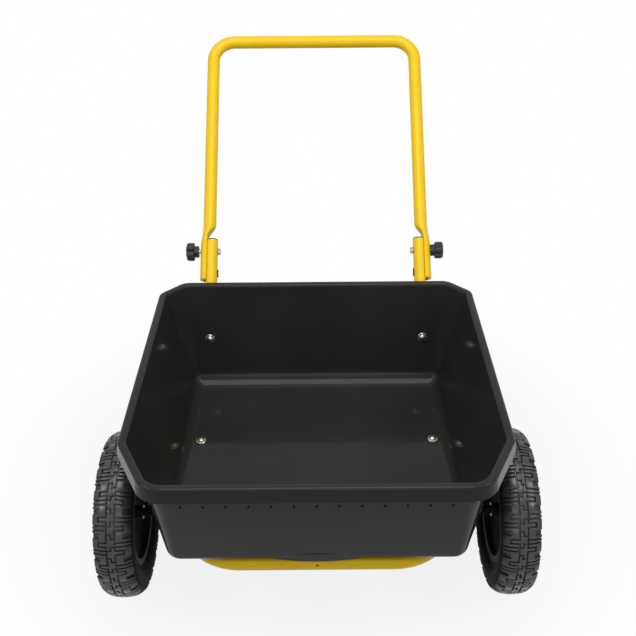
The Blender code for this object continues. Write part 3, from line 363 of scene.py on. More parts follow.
black_tub = new_finish("tub_polyethylene", "black_polyethylene", (0.021, 0.021, 0.020), 0.12, 0.0, 0.14)
surface(black_tub)["IOR"].default_value = 1.42
tint(black_tub, 5.0, (0.0185, 0.0182, 0.0172), (0.0225, 0.022, 0.0207))
vary_roughness(black_tub, 9.0, 0.07, 0.13)
waves = bump(black_tub, 6.0, 0.00025, detail=0.0)
bump(black_tub, 900.0, 0.000006, waves)
tub = add_piece("moulded_tub", bm, black_tub, "tub")

holes = bmesh.new()
front_out = Vector((0.0, -math.cos(FRONT_LEAN), -math.sin(FRONT_LEAN)))
face_y = FLOOR_FRONT - WALL_OUT - (HOLE_Z - FLOOR_Z) * math.tan(FRONT_LEAN)
for number in range(HOLE_COUNT):
    place = Vector(((number - (HOLE_COUNT - 1) / 2) * HOLE_PITCH, face_y, HOLE_Z))
    cylinder(holes, HOLE_RADIUS, 2 * HOLE_DEPTH, aimed(place, front_out, "Y"), 16)
cut(tub, holes)


# Tub lobe. The moulding's lower front edge hangs down in the middle as a shallow lobe, over the frame's
# front loop. It is the same skin of black polyethylene, and runs out into the edge at both ends.
LOBE_HALF_WIDTH = 0.092
LOBE_STEPS = 36
LOBE_HEIGHT = 0.024
LOBE_DROP = 0.0025
LOBE_SET_IN = 0.0003
LOBE_ROUNDING = 0.0012
LOBE_TOE = ((0.0012, 0.0), (0.0003, 0.0004), (-0.0001, 0.0014))
LOBE_FULLNESS = 1.05
LOBE_OFF_LOOP = 0.0005
TUBE_RADIUS = 0.016
TOUCH = 0.0003
LOOP_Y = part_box("frame_tube")[0].y + TUBE_RADIUS
bottom, top = TUB_UNDERSIDE - LOBE_DROP, TUB_UNDERSIDE + LOBE_HEIGHT
behind = LOOP_Y - math.sqrt(TUBE_RADIUS**2 - (TUBE_RADIUS + TOUCH - LOBE_DROP) ** 2) - LOBE_OFF_LOOP
top_front = FLOOR_FRONT - WALL_OUT - LOBE_HEIGHT * math.tan(FRONT_LEAN)
foot = Vector((behind - TUB_WALL, bottom))
knee = Vector((top_front + LOBE_SET_IN, top))
section = [Vector((behind, TUB_UNDERSIDE)), Vector((behind, bottom + LOBE_ROUNDING / 2))]
section += [Vector((behind - LOBE_ROUNDING, bottom))] + [foot + Vector(step) for step in LOBE_TOE]
section += [foot.lerp(knee, share) for share in (0.2, 0.4, 0.6, 0.8, 1.0)]
section += [Vector((top_front + WALL_OUT / 2, top)), Vector((FLOOR_FRONT - TUB_WALL / 2, TUB_UNDERSIDE))]
fillet_reach = FRONT_FILLET * math.tan((math.pi / 2 - FRONT_LEAN) / 2)
from_centre = (FRONT_FILLET + TUB_WALL / 2) * math.sqrt(0.5)
core = Vector((FLOOR_FRONT + fillet_reach - from_centre, FLOOR_Z + FRONT_FILLET - from_centre))
lobe_rings = []
for step in range(LOBE_STEPS + 1):
    share = 2 * step / LOBE_STEPS - 1
    ring = [core.lerp(point, LOBE_FULLNESS - share**2) for point in section]
    lobe_rings.append([(LOBE_HALF_WIDTH * share, point.x, point.y) for point in ring])
bm = bmesh.new()
skin(bm, lobe_rings)
add_piece("tub_front_lobe", bm, black_tub, sharp=50)


# Frame tube. One 32 mm steel tube, bent into the front loop, two rails under the floor and two risers
# behind the tub. Its open ends are pressed flat on the outside for the handle. The coat is gloss yellow.
PIVOT = Vector(joints["handle_fold"]["pos_m"])
HANDLE_RISE = math.radians(43.5)
HANDLE_WAY = Vector((0.0, math.cos(HANDLE_RISE), math.sin(HANDLE_RISE)))
TUBE_WALL = 0.0016
RAIL_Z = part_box("frame_tube")[0].z + TUBE_RADIUS
LOOP_X = 0.2668
HEEL_X = 0.264
STUB_X = 0.260
LOOP_BEND = 0.115
NECK_BEND = 0.100
HEEL_BEND = REAR_FILLET + TUB_WALL + TUBE_RADIUS
STUB_PAST_BOLT = 0.0287
STUB_FLAT = 0.010
FLAT_LENGTH = STUB_PAST_BOLT + 0.086
FLAT_RUN_OUT = 0.012
REAR_BOLT_Z = 0.3622
LOOP_HOLE_RADIUS = 0.0023
LOOP_HOLE_RISE = math.radians(18)
TUBE_SIDES = 48
BEND_STEP = math.radians(4)
FINE_LENGTH = 0.15
FINE_STEP = 0.002

yellow = new_finish("yellow_gloss_coat", "yellow_powder_coat", (0.76, 0.49, 0.002), 0.3, specular=0.22)
tint(yellow, 14.0, (0.745, 0.48, 0.0015), (0.775, 0.50, 0.003))
vary_roughness(yellow, 30.0, 0.29, 0.32)
bump(yellow, 260.0, 0.000002, detail=1.0)


def bent_tube(corners, bends, radius, fine_length=0.0, sides=TUBE_SIDES):
    """Runs a ring straight along and spins it round each bend, with close rings at the two ends."""
    corners = [Vector(corner) for corner in corners]
    bm = bmesh.new()
    way = (corners[1] - corners[0]).normalized()
    bmesh.ops.create_circle(bm, segments=sides, radius=radius, matrix=aimed(corners[0], way))
    edges = bm.edges[:]

    def run_on(edges, distance):
        made = bmesh.ops.extrude_edge_only(bm, edges=edges)["geom"]
        fresh = verts_of(made)
        bmesh.ops.translate(bm, verts=fresh, vec=way * distance)
        return edges_among(made, set(fresh))

    fine_steps = round(fine_length / FINE_STEP)
    for _ in range(fine_steps):
        edges = run_on(edges, FINE_STEP)
    here = corners[0] + way * fine_steps * FINE_STEP
    for corner, after, bend in zip(corners[1:], corners[2:], bends):
        out = (after - corner).normalized()
        turn = way.rotation_difference(out)
        reach = bend * math.tan(turn.angle / 2)
        start = corner - way * reach
        edges = run_on(edges, (start - here).length)
        centre = start + (out - way * way.dot(out)).normalized() * bend
        verts = list({vert for edge in edges for vert in edge.verts})
        spun = bmesh.ops.spin(
            bm,
            geom=verts + edges,
            cent=centre,
            axis=turn.axis,
            angle=turn.angle,
            steps=math.ceil(turn.angle / BEND_STEP),
            use_merge=False,
        )["geom_last"]
        edges = edges_among(spun, set(verts_of(spun)))
        way = out
        here = corner + out * reach
    edges = run_on(edges, (corners[-1] - here).length - fine_steps * FINE_STEP)
    for _ in range(fine_steps):
        edges = run_on(edges, FINE_STEP)
    return bm


def hollow(piece, thickness):
    """Gives an open tube its wall, inwards from its skin."""
    wall = piece.modifiers.new("wall", "SOLIDIFY")
    wall.thickness = thickness
    wall.offset = -1.0


def eased(value):
    """0 to 1 with a soft start and end."""
    value = min(max(value, 0.0), 1.0)
    return value * value * (3 - 2 * value)


rear_up = Vector((0.0, math.sin(REAR_LEAN), math.cos(REAR_LEAN)))
rear_out = Vector((0.0, math.cos(REAR_LEAN), -math.sin(REAR_LEAN)))


def rear_wall_point(height, out):
    """A place on the rear wall at a height, moved outwards from its inner face."""
    foot = Vector((0.0, FLOOR_REAR, FLOOR_Z))
    return foot + rear_up * ((height - FLOOR_Z) / rear_up.z) + rear_out * out


def meeting(point, way, other_point, other_way):
    """Where two lines in the YZ plane cross."""
    gap = other_point - point
    across = way.y * other_way.z - way.z * other_way.y
    return point + way * ((gap.y * other_way.z - gap.z * other_way.y) / across)


riser_point = rear_wall_point(REAR_BOLT_Z, WALL_OUT + TOUCH + TUBE_RADIUS)
neck = meeting(riser_point, rear_up, PIVOT, HANDLE_WAY)
heel = meeting(riser_point, rear_up, Vector((0.0, 0.0, RAIL_Z)), Vector((0.0, 1.0, 0.0)))
stub_end = PIVOT + HANDLE_WAY * STUB_PAST_BOLT
riser_x = STUB_X + (HEEL_X - STUB_X) * (neck.z - REAR_BOLT_Z) / (neck.z - heel.z)


def rail_x(y):
    """How far a rail's middle is from the middle of the cart."""
    return LOOP_X + (HEEL_X - LOOP_X) * (y - LOOP_Y) / (heel.y - LOOP_Y)


route = ((LOOP_X, Vector((0.0, LOOP_Y, RAIL_Z))), (HEEL_X, heel), (STUB_X, neck), (STUB_X, stub_end))
right_route = [X_AXIS * x + point for x, point in route]
left_route = [Vector((-point.x, point.y, point.z)) for point in reversed(right_route)]
bends = [NECK_BEND, HEEL_BEND, LOOP_BEND, LOOP_BEND, HEEL_BEND, NECK_BEND]
bm = bent_tube(left_route + right_route, bends, TUBE_RADIUS, FINE_LENGTH)
for vert in bm.verts:
    from_end = (stub_end - vert.co).dot(HANDLE_WAY)
    if from_end < FLAT_LENGTH + FLAT_RUN_OUT and vert.co.z > RIM_Z - TUB_DEPTH / 2:
        limit = STUB_FLAT + (TUBE_RADIUS - STUB_FLAT) * eased((from_end - FLAT_LENGTH) / FLAT_RUN_OUT)
        vert.co.x = math.copysign(min(abs(vert.co.x), STUB_X + limit), vert.co.x)
tube = add_piece("bent_frame_tube", bm, yellow, "frame_tube")
hollow(tube, TUBE_WALL)
hole = bmesh.new()
outwards = Vector((0.0, -math.cos(LOOP_HOLE_RISE), math.sin(LOOP_HOLE_RISE)))
place = Vector((0.0, LOOP_Y, RAIL_Z)) + outwards * TUBE_RADIUS
cylinder(hole, LOOP_HOLE_RADIUS, TUBE_RADIUS, aimed(place, outwards), 20)
cut(tube, hole)


# Frame plugs. A black moulded cap closes each open end of the frame tube, and an oval plug sits in the
# inner side of each stub. Both are pushed in.
black_nylon = new_finish("moulded_nylon", "black_nylon", (0.02, 0.02, 0.02), 0.45, specular=0.25)
vary_roughness(black_nylon, 60.0, 0.32, 0.46)
tint(black_nylon, 25.0, (0.016, 0.016, 0.016), (0.026, 0.026, 0.026))
bump(black_nylon, 1100.0, 0.00004)
PLUG_BELOW_BOLT = 0.057
PLUG_HALF_LENGTH = 0.0105
PLUG_HALF_WIDTH = 0.005
PLUG_HEAD = 0.0022
PLUG_ROUNDING = 0.0009
CAP_HEAD = 0.0024
CAP_SET_IN = 0.0002


def round_off(bm, geometry, width, segments=3, affect="EDGES"):
    """Rounds some edges or corners of a bmesh."""
    bmesh.ops.bevel(
        bm,
        geom=geometry,
        offset=width,
        segments=segments,
        profile=0.5,
        affect=affect,
        material=-1,
        clamp_overlap=True,
    )


def bevelled(bm, width):
    """Rounds all edges of a bmesh that are sharper than 30 degrees."""
    bmesh.ops.recalc_face_normals(bm, faces=bm.faces)
    closed = [edge for edge in bm.edges if edge.is_manifold]
    round_off(bm, [edge for edge in closed if edge.calc_face_angle() > math.radians(30)], width)


across = HANDLE_WAY.cross(X_AXIS)
for name, side in SIDES.items():
    bm = bmesh.new()
    place = X_AXIS * side * STUB_X + stub_end + HANDLE_WAY * (TOUCH + CAP_HEAD / 2)
    cylinder(bm, TUBE_RADIUS - CAP_SET_IN, CAP_HEAD, aimed(place, HANDLE_WAY), TUBE_SIDES)
    for vert in bm.verts:
        vert.co.x = side * min(vert.co.x * side, STUB_X + STUB_FLAT - CAP_SET_IN)
    bevelled(bm, CAP_HEAD * 0.4)
    add_piece("end_cap_" + name, bm, black_nylon, "frame_end_cap_" + name)

    bm = bmesh.new()
    cylinder(bm, 1.0, 1.0, Matrix(), 40)
    place = X_AXIS * side * (STUB_X - TUBE_RADIUS) + PIVOT - HANDLE_WAY * PLUG_BELOW_BOLT
    for vert in bm.verts:
        flat = vert.co.copy()
        vert.co = place + HANDLE_WAY * flat.x * PLUG_HALF_LENGTH + across * flat.y * PLUG_HALF_WIDTH
        vert.co -= X_AXIS * side * (PLUG_HEAD if flat.z > 0.0 else -TUBE_RADIUS / 3)
    bevelled(bm, PLUG_ROUNDING)
    add_piece("side_plug_" + name, bm, black_nylon, "frame_side_plug_" + name)


# Axle. A 13 mm steel rod lies under the rails in two yellow channel brackets. Spacer tubes hold the
# wheels off them, in black paint that is painted shade for the dark gap under the tub, and a washer and
# a cotter pin keep each wheel on. The rest is zinc plated.
AXLE_RADIUS = 0.0065
AXLE_CHAMFER = 0.001
RING_ROUNDING = 0.0004
BRACKET_ROUNDING = 0.0012
PIN_ROUNDING = 0.0006

zinc = new_finish("yellow_zinc_plate", "yellow_zinc", (0.38, 0.38, 0.29), 0.3, 1.0)
tint(zinc, 120.0, (0.31, 0.31, 0.23), (0.45, 0.45, 0.36))
vary_roughness(zinc, 300.0, 0.22, 0.38)
bump(zinc, 800.0, 0.00001)
# Near-black satin paint for the rims and hubs. It is partly their own black and partly painted shade,
# kept very dark so that the wheels' middles read as the shade under the tub.
rim_paint_and_shade = new_finish("satin_rim_paint_and_shade", "black_rim_paint", (0.014, 0.014, 0.014), 0.6, specular=0.06)
tint(rim_paint_and_shade, 20.0, (0.010, 0.010, 0.010), (0.015, 0.015, 0.015))
vary_roughness(rim_paint_and_shade, 45.0, 0.55, 0.7)
bump(rim_paint_and_shade, 320.0, 0.00003)


def spun(profile, place, way, rounding=0.0, steps=64):
    """Spins an outline of (along, radius) points about a line, after rounding its corners."""
    bm = bmesh.new()
    verts = [bm.verts.new((0.0, radius, along)) for along, radius in profile]
    pairs = list(zip(verts, verts[1:]))
    if profile[0][1] > 0.0:
        pairs.append((verts[-1], verts[0]))
    for pair in pairs:
        bm.edges.new(pair)
    if rounding:
        corners = [vert for vert in verts if vert.co.y > 1e-6]
        round_off(bm, corners, rounding, affect="VERTICES")
    bmesh.ops.spin(
        bm,
        geom=bm.verts[:] + bm.edges[:],
        cent=(0.0, 0.0, 0.0),
        axis=(0.0, 0.0, 1.0),
        angle=math.tau,
        steps=steps,
        use_merge=True,
    )
    bmesh.ops.remove_doubles(bm, verts=bm.verts, dist=1e-6)
    bmesh.ops.transform(bm, verts=bm.verts, matrix=aimed(place, way))
    return bm


def ring_outline(start, end, inner, outer):
    """The outline of a plain ring."""
    return [(start, inner), (end, inner), (end, outer), (start, outer)]


def eased_copy(name, node, finish, width, body="chassis"):
    """A copy of a CAD node with its flat faces joined and its edges rounded."""
    bm = bmesh.new()
    bm.from_mesh(nodes[node].data)
    bmesh.ops.remove_doubles(bm, verts=bm.verts, dist=1e-5)
    bmesh.ops.dissolve_limit(bm, angle_limit=math.radians(1), verts=bm.verts, edges=bm.edges)
    bevelled(bm, width)
    return add_piece(name, bm, finish, node, body=body)


axle_place = Vector((0.0, AXLE_Y, AXLE_Z))
axle_half = axle_high.x
outline = [(-axle_half, 0.0), (-axle_half, AXLE_RADIUS), (axle_half, AXLE_RADIUS), (axle_half, 0.0)]
add_piece("axle_rod", spun(outline, axle_place, X_AXIS, AXLE_CHAMFER), zinc, "axle")
for name, side in SIDES.items():
    # The spacers take the near-black paint in place of zinc, as painted shade in the gap between tyre
    # and tub.
    pieces = (("axle_spacer_", "spacer_", rim_paint_and_shade), ("axle_washer_", "axle_washer_ring_", zinc))
    for node, piece, finish in pieces:
        low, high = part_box(node + name)
        outline = ring_outline(low.x, high.x, AXLE_RADIUS + TOUCH, (high.z - low.z) / 2)
        ring = spun(outline, axle_place, X_AXIS, RING_ROUNDING)
        add_piece(piece + name, ring, finish, node + name)
    eased_copy("bracket_" + name, "axle_bracket_" + name, yellow, BRACKET_ROUNDING)

    low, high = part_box("cotter_pin_" + name)
    pin = Vector(((low.x + high.x) / 2, AXLE_Y, low.z))
    pin_radius = (high.x - low.x) / 2
    height = high.z - low.z
    outline = [(0.0, 0.0), (0.0, pin_radius), (height, pin_radius), (height, 0.0)]
    bm = spun(outline, pin, (0.0, 0.0, 1.0), PIN_ROUNDING, 24)
    add_piece("cotter_" + name, bm, zinc, "cotter_pin_" + name)


# Wheels. Pneumatic 3.50-8 tyres with interlocking tread blocks sit on black pressed rims of two halves,
# round a steel hub with nylon bushes. An inner tube fills each tyre; its valve comes out of the web.
WHEEL_RADIUS = AXLE_Z
TYRE_HALF_WIDTH = 0.0445
TYRE_HEIGHT = 0.0765
BEAD_RADIUS = WHEEL_RADIUS - TYRE_HEIGHT
BEAD_HEIGHT = 0.010
WIDEST_SHARE = 0.58
WIDEST_RADIUS = BEAD_RADIUS + WIDEST_SHARE * TYRE_HEIGHT
TREAD_DEPTH = 0.0042
CROWN_POWER = 2 / 2.5
WALL_POWER = 2 / 2.2
BEAD_HALF_WIDTH = 0.0275
WALL_REACH = 0.0386
TYRE_WALL = 0.006
BEAD_THICKNESS = TYRE_WALL * 1.6
TREAD_COUNT = 22
TYRE_STEPS = 132
ARC_STEPS = 400
OUTER_STEPS = 36
INNER_STEPS = 20
BLOCK_ROOT = 0.0008
BLOCK_ROUNDING = 0.0012
HALF_GROOVE = 0.0014
STRIP_WIDTH = 0.004
STRIP_COUNT = 10
SIDE_RIBS = (26, 27, 31)
RIB_HEIGHT = 0.0007
# From the first radius out to the second, the rubber goes from a dull sidewall, darkened as painted
# shade, to a shiny tread, lightened as painted light.
DULL_SHADED_RADIUS = 0.158
SHINY_LIT_RADIUS = 0.176
RIM_SHEET = 0.002
RIM_LIP = 0.011
RIM_ROUNDING = 0.0008
SEAT_RUN_IN = 0.012
WEB_GAP = 0.0002
WEB_RADIUS = 0.070
WEB_RIB = ((0.0, 0.030), (0.0015, 0.034), (0.0015, 0.056), (0.0, 0.060))
HUB_HOLE = 0.0151
HUB_BORE = 0.0122
HUB_ROUNDING = 0.0005
BUSH_LENGTH = 0.018
BUSH_FLANGE = 0.0017
BUSH_RADIUS = 0.0119
FINE_ROUNDING = 0.0003

tyre_rubber = new_finish("tread_rubber", "tyre_rubber", (0.036, 0.036, 0.035), 0.42)
tint(tyre_rubber, 35.0, (0.021, 0.021, 0.020), (0.034, 0.034, 0.032), detail=4.0)
bump(tyre_rubber, 700.0, 0.00006, detail=3.0)
tree = tyre_rubber.node_tree
inputs = surface(tyre_rubber)
place = tree.nodes.new("ShaderNodeTexCoord")
across = tree.nodes.new("ShaderNodeVectorMath")
across.operation = "MULTIPLY_ADD"
across.inputs[1].default_value = (0.0, 1.0, 1.0)
across.inputs[2].default_value = (0.0, -AXLE_Y, -AXLE_Z)
from_axle = tree.nodes.new("ShaderNodeVectorMath")
from_axle.operation = "LENGTH"
# The base colour's value is turned down towards the rim as painted shade, where the sidewalls sit under
# the tub, and up a little on the tread as painted light.
sidewall_painted_shade = tree.nodes.new("ShaderNodeHueSaturation")
for socket, sidewall, tread in (
    (inputs["Specular IOR Level"], 0.05, 0.5),
    (inputs["Roughness"], 0.75, 0.28),
    (sidewall_painted_shade.inputs["Value"], 0.3, 1.1),
):
    made = spread(tree, from_axle.outputs["Value"], DULL_SHADED_RADIUS, SHINY_LIT_RADIUS, sidewall, tread)
    tree.links.new(made.outputs["Result"], socket)
tree.links.new(place.outputs["Object"], across.inputs[0])
tree.links.new(across.outputs["Vector"], from_axle.inputs[0])
tree.links.new(inputs["Base Color"].links[0].from_socket, sidewall_painted_shade.inputs["Color"])
tree.links.new(sidewall_painted_shade.outputs["Color"], inputs["Base Color"])
soft_rubber = new_finish("plain_rubber", "black_rubber", (0.025, 0.025, 0.025), 0.7)
vary_roughness(soft_rubber, 80.0, 0.6, 0.8)
tint(soft_rubber, 30.0, (0.02, 0.02, 0.02), (0.032, 0.032, 0.032))
bump(soft_rubber, 600.0, 0.00005)


def powered(value, power):
    """A sine or cosine raised to a power, with its sign kept."""
    return math.copysign(abs(value) ** power, value)


def crown_point(angle, inset):
    """A point of the tyre's section at an angle from the crown, set in, as (across, radius)."""
    height = WHEEL_RADIUS - WIDEST_RADIUS if angle <= math.pi / 2 else WALL_REACH
    power = CROWN_POWER if angle <= math.pi / 2 else WALL_POWER
    across = (TYRE_HALF_WIDTH - inset) * powered(math.sin(angle), power)
    return across, WIDEST_RADIUS + (height - inset) * powered(math.cos(angle), power)


BEAD_ANGLE = math.pi / 2 + math.asin(0.75)
crown_arc = [(0.0, *crown_point(0.0, TREAD_DEPTH))]
for step in range(1, ARC_STEPS + 1):
    across, radius = crown_point(BEAD_ANGLE * step / ARC_STEPS, TREAD_DEPTH)
    before = crown_arc[-1]
    crown_arc.append((before[0] + math.hypot(across - before[1], radius - before[2]), across, radius))


def tread_place(arc, around, height):
    """Lays a point of the flat tread on the tyre: arc is across it, and around is along it."""
    reach = min(abs(arc), crown_arc[-1][0])
    after = max(next(index for index, entry in enumerate(crown_arc) if entry[0] >= reach), 1)
    (a0, x0, r0), (a1, x1, r1) = crown_arc[after - 1], crown_arc[after]
    share = (abs(arc) - a0) / (a1 - a0)
    way = Vector((x1 - x0, r1 - r0)).normalized()
    across = x0 + (x1 - x0) * share - way.y * height
    radius = r0 + (r1 - r0) * share + way.x * height
    angle = around / WHEEL_RADIUS
    return Vector((math.copysign(across, arc), radius * math.sin(angle), radius * math.cos(angle)))


# The blocks over one pitch, drawn as cells from the top row down. An S lies on each shoulder with a bar
# beside it, and two blocks along the middle reach into the shoulders with a tongue.
TREAD_COLUMNS = 10
CELL_WIDTH = 0.0081
CELL_LENGTH = math.tau * WHEEL_RADIUS / TREAD_COUNT / 6
SHOULDER_S = ("......####", "........##", "......####", "......##..", "......####")
SHOULDER_BAR = ("......####",)
MIDDLE = (".....#....", "....####..", "....##....", ".....#....")
TREAD_BLOCKS = ((SHOULDER_S, 1, 0), (SHOULDER_BAR, 1, 5), (MIDDLE, 1, 1))
TREAD_BLOCKS += ((SHOULDER_S, -1, 4), (SHOULDER_BAR, -1, 3), (MIDDLE, -1, 4))
CELL_CORNERS = ((-1, -1), (1, -1), (1, 1), (-1, 1))

seat = BEAD_RADIUS - RIM_SHEET - TOUCH
over_seat = seat + RIM_SHEET
rim_face = BEAD_HALF_WIDTH + TOUCH
rim_outline = [(WEB_GAP, HUB_HOLE)] + [(WEB_GAP + lift, radius) for lift, radius in WEB_RIB]
rim_outline += [
    (WEB_GAP, WEB_RADIUS),
    (BEAD_HALF_WIDTH - SEAT_RUN_IN, over_seat),
    (rim_face, over_seat),
    (rim_face, over_seat + RIM_LIP),
    (rim_face + RIM_SHEET, over_seat + RIM_LIP),
    (rim_face + RIM_SHEET, seat),
    (BEAD_HALF_WIDTH - SEAT_RUN_IN + RIM_SHEET / 2, seat),
    (WEB_GAP + RIM_SHEET, WEB_RADIUS - RIM_SHEET / 2),
]
rim_outline += [(WEB_GAP + RIM_SHEET + lift, radius) for lift, radius in reversed(WEB_RIB)]
rim_outline += [(WEB_GAP + RIM_SHEET, HUB_HOLE)]

for name, side in SIDES.items():
    centre = Vector((joints["wheel_spin_" + name]["pos_m"][0], AXLE_Y, AXLE_Z))
    body = "wheel_" + name
    outline = []
    for step in range(-OUTER_STEPS, OUTER_STEPS + 1):
        inset = TREAD_DEPTH - RIB_HEIGHT * (abs(step) in SIDE_RIBS)
        outline.append(crown_point(BEAD_ANGLE * step / OUTER_STEPS, inset))
    foot = [(BEAD_HALF_WIDTH, BEAD_RADIUS + BEAD_HEIGHT), (BEAD_HALF_WIDTH, BEAD_RADIUS + TOUCH)]
    foot += [(BEAD_HALF_WIDTH - BEAD_THICKNESS, BEAD_RADIUS + TOUCH)]
    outline += foot
    for step in range(INNER_STEPS, -INNER_STEPS - 1, -1):
        outline.append(crown_point(BEAD_ANGLE * step / INNER_STEPS, TREAD_DEPTH + TYRE_WALL))
    outline += [(-across, radius) for across, radius in reversed(foot)]
    bm = spun(outline, centre, X_AXIS, steps=TYRE_STEPS)

    blocks = bmesh.new()
    for shape, way, first_row in TREAD_BLOCKS:
        cells = []
        for row, line in enumerate(reversed(shape)):
            for column in (number for number, mark in enumerate(line) if mark == "#"):
                x = (column + 0.5 - TREAD_COLUMNS / 2) * CELL_WIDTH * way
                y = (first_row + 0.5 + (row if way > 0 else len(shape) - 1 - row)) * CELL_LENGTH
                corners = [
                    blocks.verts.new((x + i * CELL_WIDTH / 2, y + j * CELL_LENGTH / 2, -BLOCK_ROOT))
                    for i, j in CELL_CORNERS
                ]
                cells.append(blocks.faces.new(corners))
        own = list({vert for cell in cells for vert in cell.verts})
        bmesh.ops.remove_doubles(blocks, verts=own, dist=1e-5)
        joined = bmesh.ops.dissolve_faces(blocks, faces=cells)["region"]
        ring = bmesh.ops.inset_region(
            blocks, faces=joined, thickness=HALF_GROOVE, use_boundary=True, use_even_offset=True
        )["faces"]
        bmesh.ops.delete(blocks, geom=ring, context="FACES")
        top = bmesh.ops.extrude_face_region(blocks, geom=joined)["geom"]
        bmesh.ops.translate(blocks, verts=verts_of(top), vec=(0.0, 0.0, TREAD_DEPTH + BLOCK_ROOT))
    bmesh.ops.recalc_face_normals(blocks, faces=blocks.faces)
    raised = [edge for edge in blocks.edges if all(vert.co.z > 0.0 for vert in edge.verts)]
    sharp = [edge for edge in raised if edge.calc_face_angle() > math.radians(30)]
    round_off(blocks, sharp, BLOCK_ROUNDING, segments=2)
    for number in range(-STRIP_COUNT, STRIP_COUNT + 1):
        bmesh.ops.bisect_plane(
            blocks,
            geom=blocks.verts[:] + blocks.edges[:] + blocks.faces[:],
            plane_co=(number * STRIP_WIDTH, 0.0, 0.0),
            plane_no=X_AXIS,
            dist=1e-6,
        )
    bmesh.ops.triangulate(blocks, faces=[face for face in blocks.faces if len(face.verts) > 4])
    for vert in blocks.verts:
        vert.co = centre + tread_place(*vert.co)
    bmesh.ops.spin(
        blocks,
        geom=blocks.verts[:] + blocks.edges[:] + blocks.faces[:],
        cent=centre,
        axis=X_AXIS,
        angle=math.tau * (TREAD_COUNT - 1) / TREAD_COUNT,
        steps=TREAD_COUNT - 1,
        use_duplicate=True,
    )
    block_mesh = mesh_from("blocks", blocks)
    bm.from_mesh(block_mesh)
    bpy.data.meshes.remove(block_mesh)
    add_piece("treaded_tyre_" + name, bm, tyre_rubber, "tyre_" + name, body=body, sharp=40)

    for half, way in (("outer", side), ("inner", -side)):
        bm = spun([(way * x, r) for x, r in rim_outline], centre, X_AXIS, RIM_ROUNDING, 96)
        add_piece(f"rim_{half}_half_{name}", bm, rim_paint_and_shade, f"rim_{half}_{name}", body=body)
        low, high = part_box(f"bush_{half}_{name}")
        bore, flange = AXLE_RADIUS + TOUCH, (high.z - low.z) / 2
        face = (low.x if way < 0 else high.x) - centre.x
        under, end = face - way * BUSH_FLANGE, face - way * BUSH_LENGTH
        outline = [(end, bore), (face, bore), (face, flange), (under, flange)]
        outline += [(under, BUSH_RADIUS), (end, BUSH_RADIUS)]
        bm = spun(outline, centre, X_AXIS, FINE_ROUNDING)
        add_piece(f"bush_{half}_ring_{name}", bm, black_nylon, f"bush_{half}_{name}", body=body)

    low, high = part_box("hub_" + name)
    outline = ring_outline(low.x - centre.x, high.x - centre.x, HUB_BORE, (high.z - low.z) / 2)
    bm = spun(outline, centre, X_AXIS, HUB_ROUNDING)
    add_piece("hub_tube_" + name, bm, rim_paint_and_shade, "hub_" + name, body=body)
    eased_copy("valve_" + name, "valve_stem_" + name, soft_rubber, FINE_ROUNDING, body)
    eased_copy("cap_" + name, "valve_cap_" + name, black_nylon, HUB_ROUNDING, body)
    coat(nodes["inner_tube_" + name], soft_rubber)


# Stand. A U-shaped yellow leg stands behind the axle, bolted through the rails. A rubber shoe is pushed
# over its bar on each side, so that the cart rests level.
STAND_Y = AXLE_Y + 0.326
STAND_RADIUS = 0.0125
STAND_BEND = 0.050
STAND_WALL = 0.0014
STAND_SIDES = 36
FOOT_SOLE = 0.005
FOOT_ROUNDING = 0.0016
leg_x = rail_x(STAND_Y) - TUBE_RADIUS - TOUCH - STAND_RADIUS
leg_top = TUB_UNDERSIDE - TOUCH
bar_z = FOOT_SOLE + TOUCH + STAND_RADIUS
leg = ((-leg_x, leg_top), (-leg_x, bar_z), (leg_x, bar_z), (leg_x, leg_top))
corners = [(x, STAND_Y, z) for x, z in leg]
bm = bent_tube(corners, [STAND_BEND, STAND_BEND], STAND_RADIUS, sides=STAND_SIDES)
hollow(add_piece("stand_leg", bm, yellow, "stand_tube"), STAND_WALL)
for name in SIDES:
    eased_copy("stand_shoe_" + name, "stand_foot_" + name, soft_rubber, FOOT_ROUNDING)


# Bolts and nuts. Domed flange bolts hold the tub to the risers and rails from inside. Hexagon bolts hold
# the stand and the handle. Each has a hexagon nut or a knob. All are M8 and yellow zinc plated.
BOLT_RADIUS = 0.004
FLANGE_RADIUS = 0.012
FLANGE_THICKNESS = 0.0016
FLANGE_ROUNDING = 0.0006
DOME_RADIUS = 0.008
DOME_HEIGHT = 0.0045
HEX_HALF_WIDTH = 0.0065
HEX_CORNER = HEX_HALF_WIDTH / math.cos(math.radians(30))
HEX_STEPS = 72
HEAD_HEIGHT = 0.0053
HEAD_CHAMFER = (0.72, 0.84)
NUT_HEIGHT = 0.0065
NUT_CHAMFER = (0.18, 0.86)
PAST_NUT = 0.003
FLOOR_BOLT_Y = AXLE_Y + 0.1524
WASHER_RADIUS = 0.0085
WASHER_THICKNESS = 0.0016


def shank(length):
    """The outline of a bolt's shank, from under the head to the axis at its end."""
    return [(0.0, BOLT_RADIUS), (length, BOLT_RADIUS), (length, 0.0)]


def flange_bolt(name, place, way, length, node):
    """A domed bolt with a wide flange, whose place is under the flange."""
    arc = reversed(quarter(0, 9))
    dome = [(-FLANGE_THICKNESS - DOME_HEIGHT * up, DOME_RADIUS * over) for over, up in arc]
    flange = [
        (-FLANGE_THICKNESS, DOME_RADIUS + FLANGE_ROUNDING),
        (-FLANGE_THICKNESS * 0.75, FLANGE_RADIUS - FLANGE_ROUNDING),
        (-FLANGE_THICKNESS * 0.35, FLANGE_RADIUS),
        (0.0, FLANGE_RADIUS),
    ]
    add_piece(name, spun(dome + flange + shank(length), place, way), zinc, node)


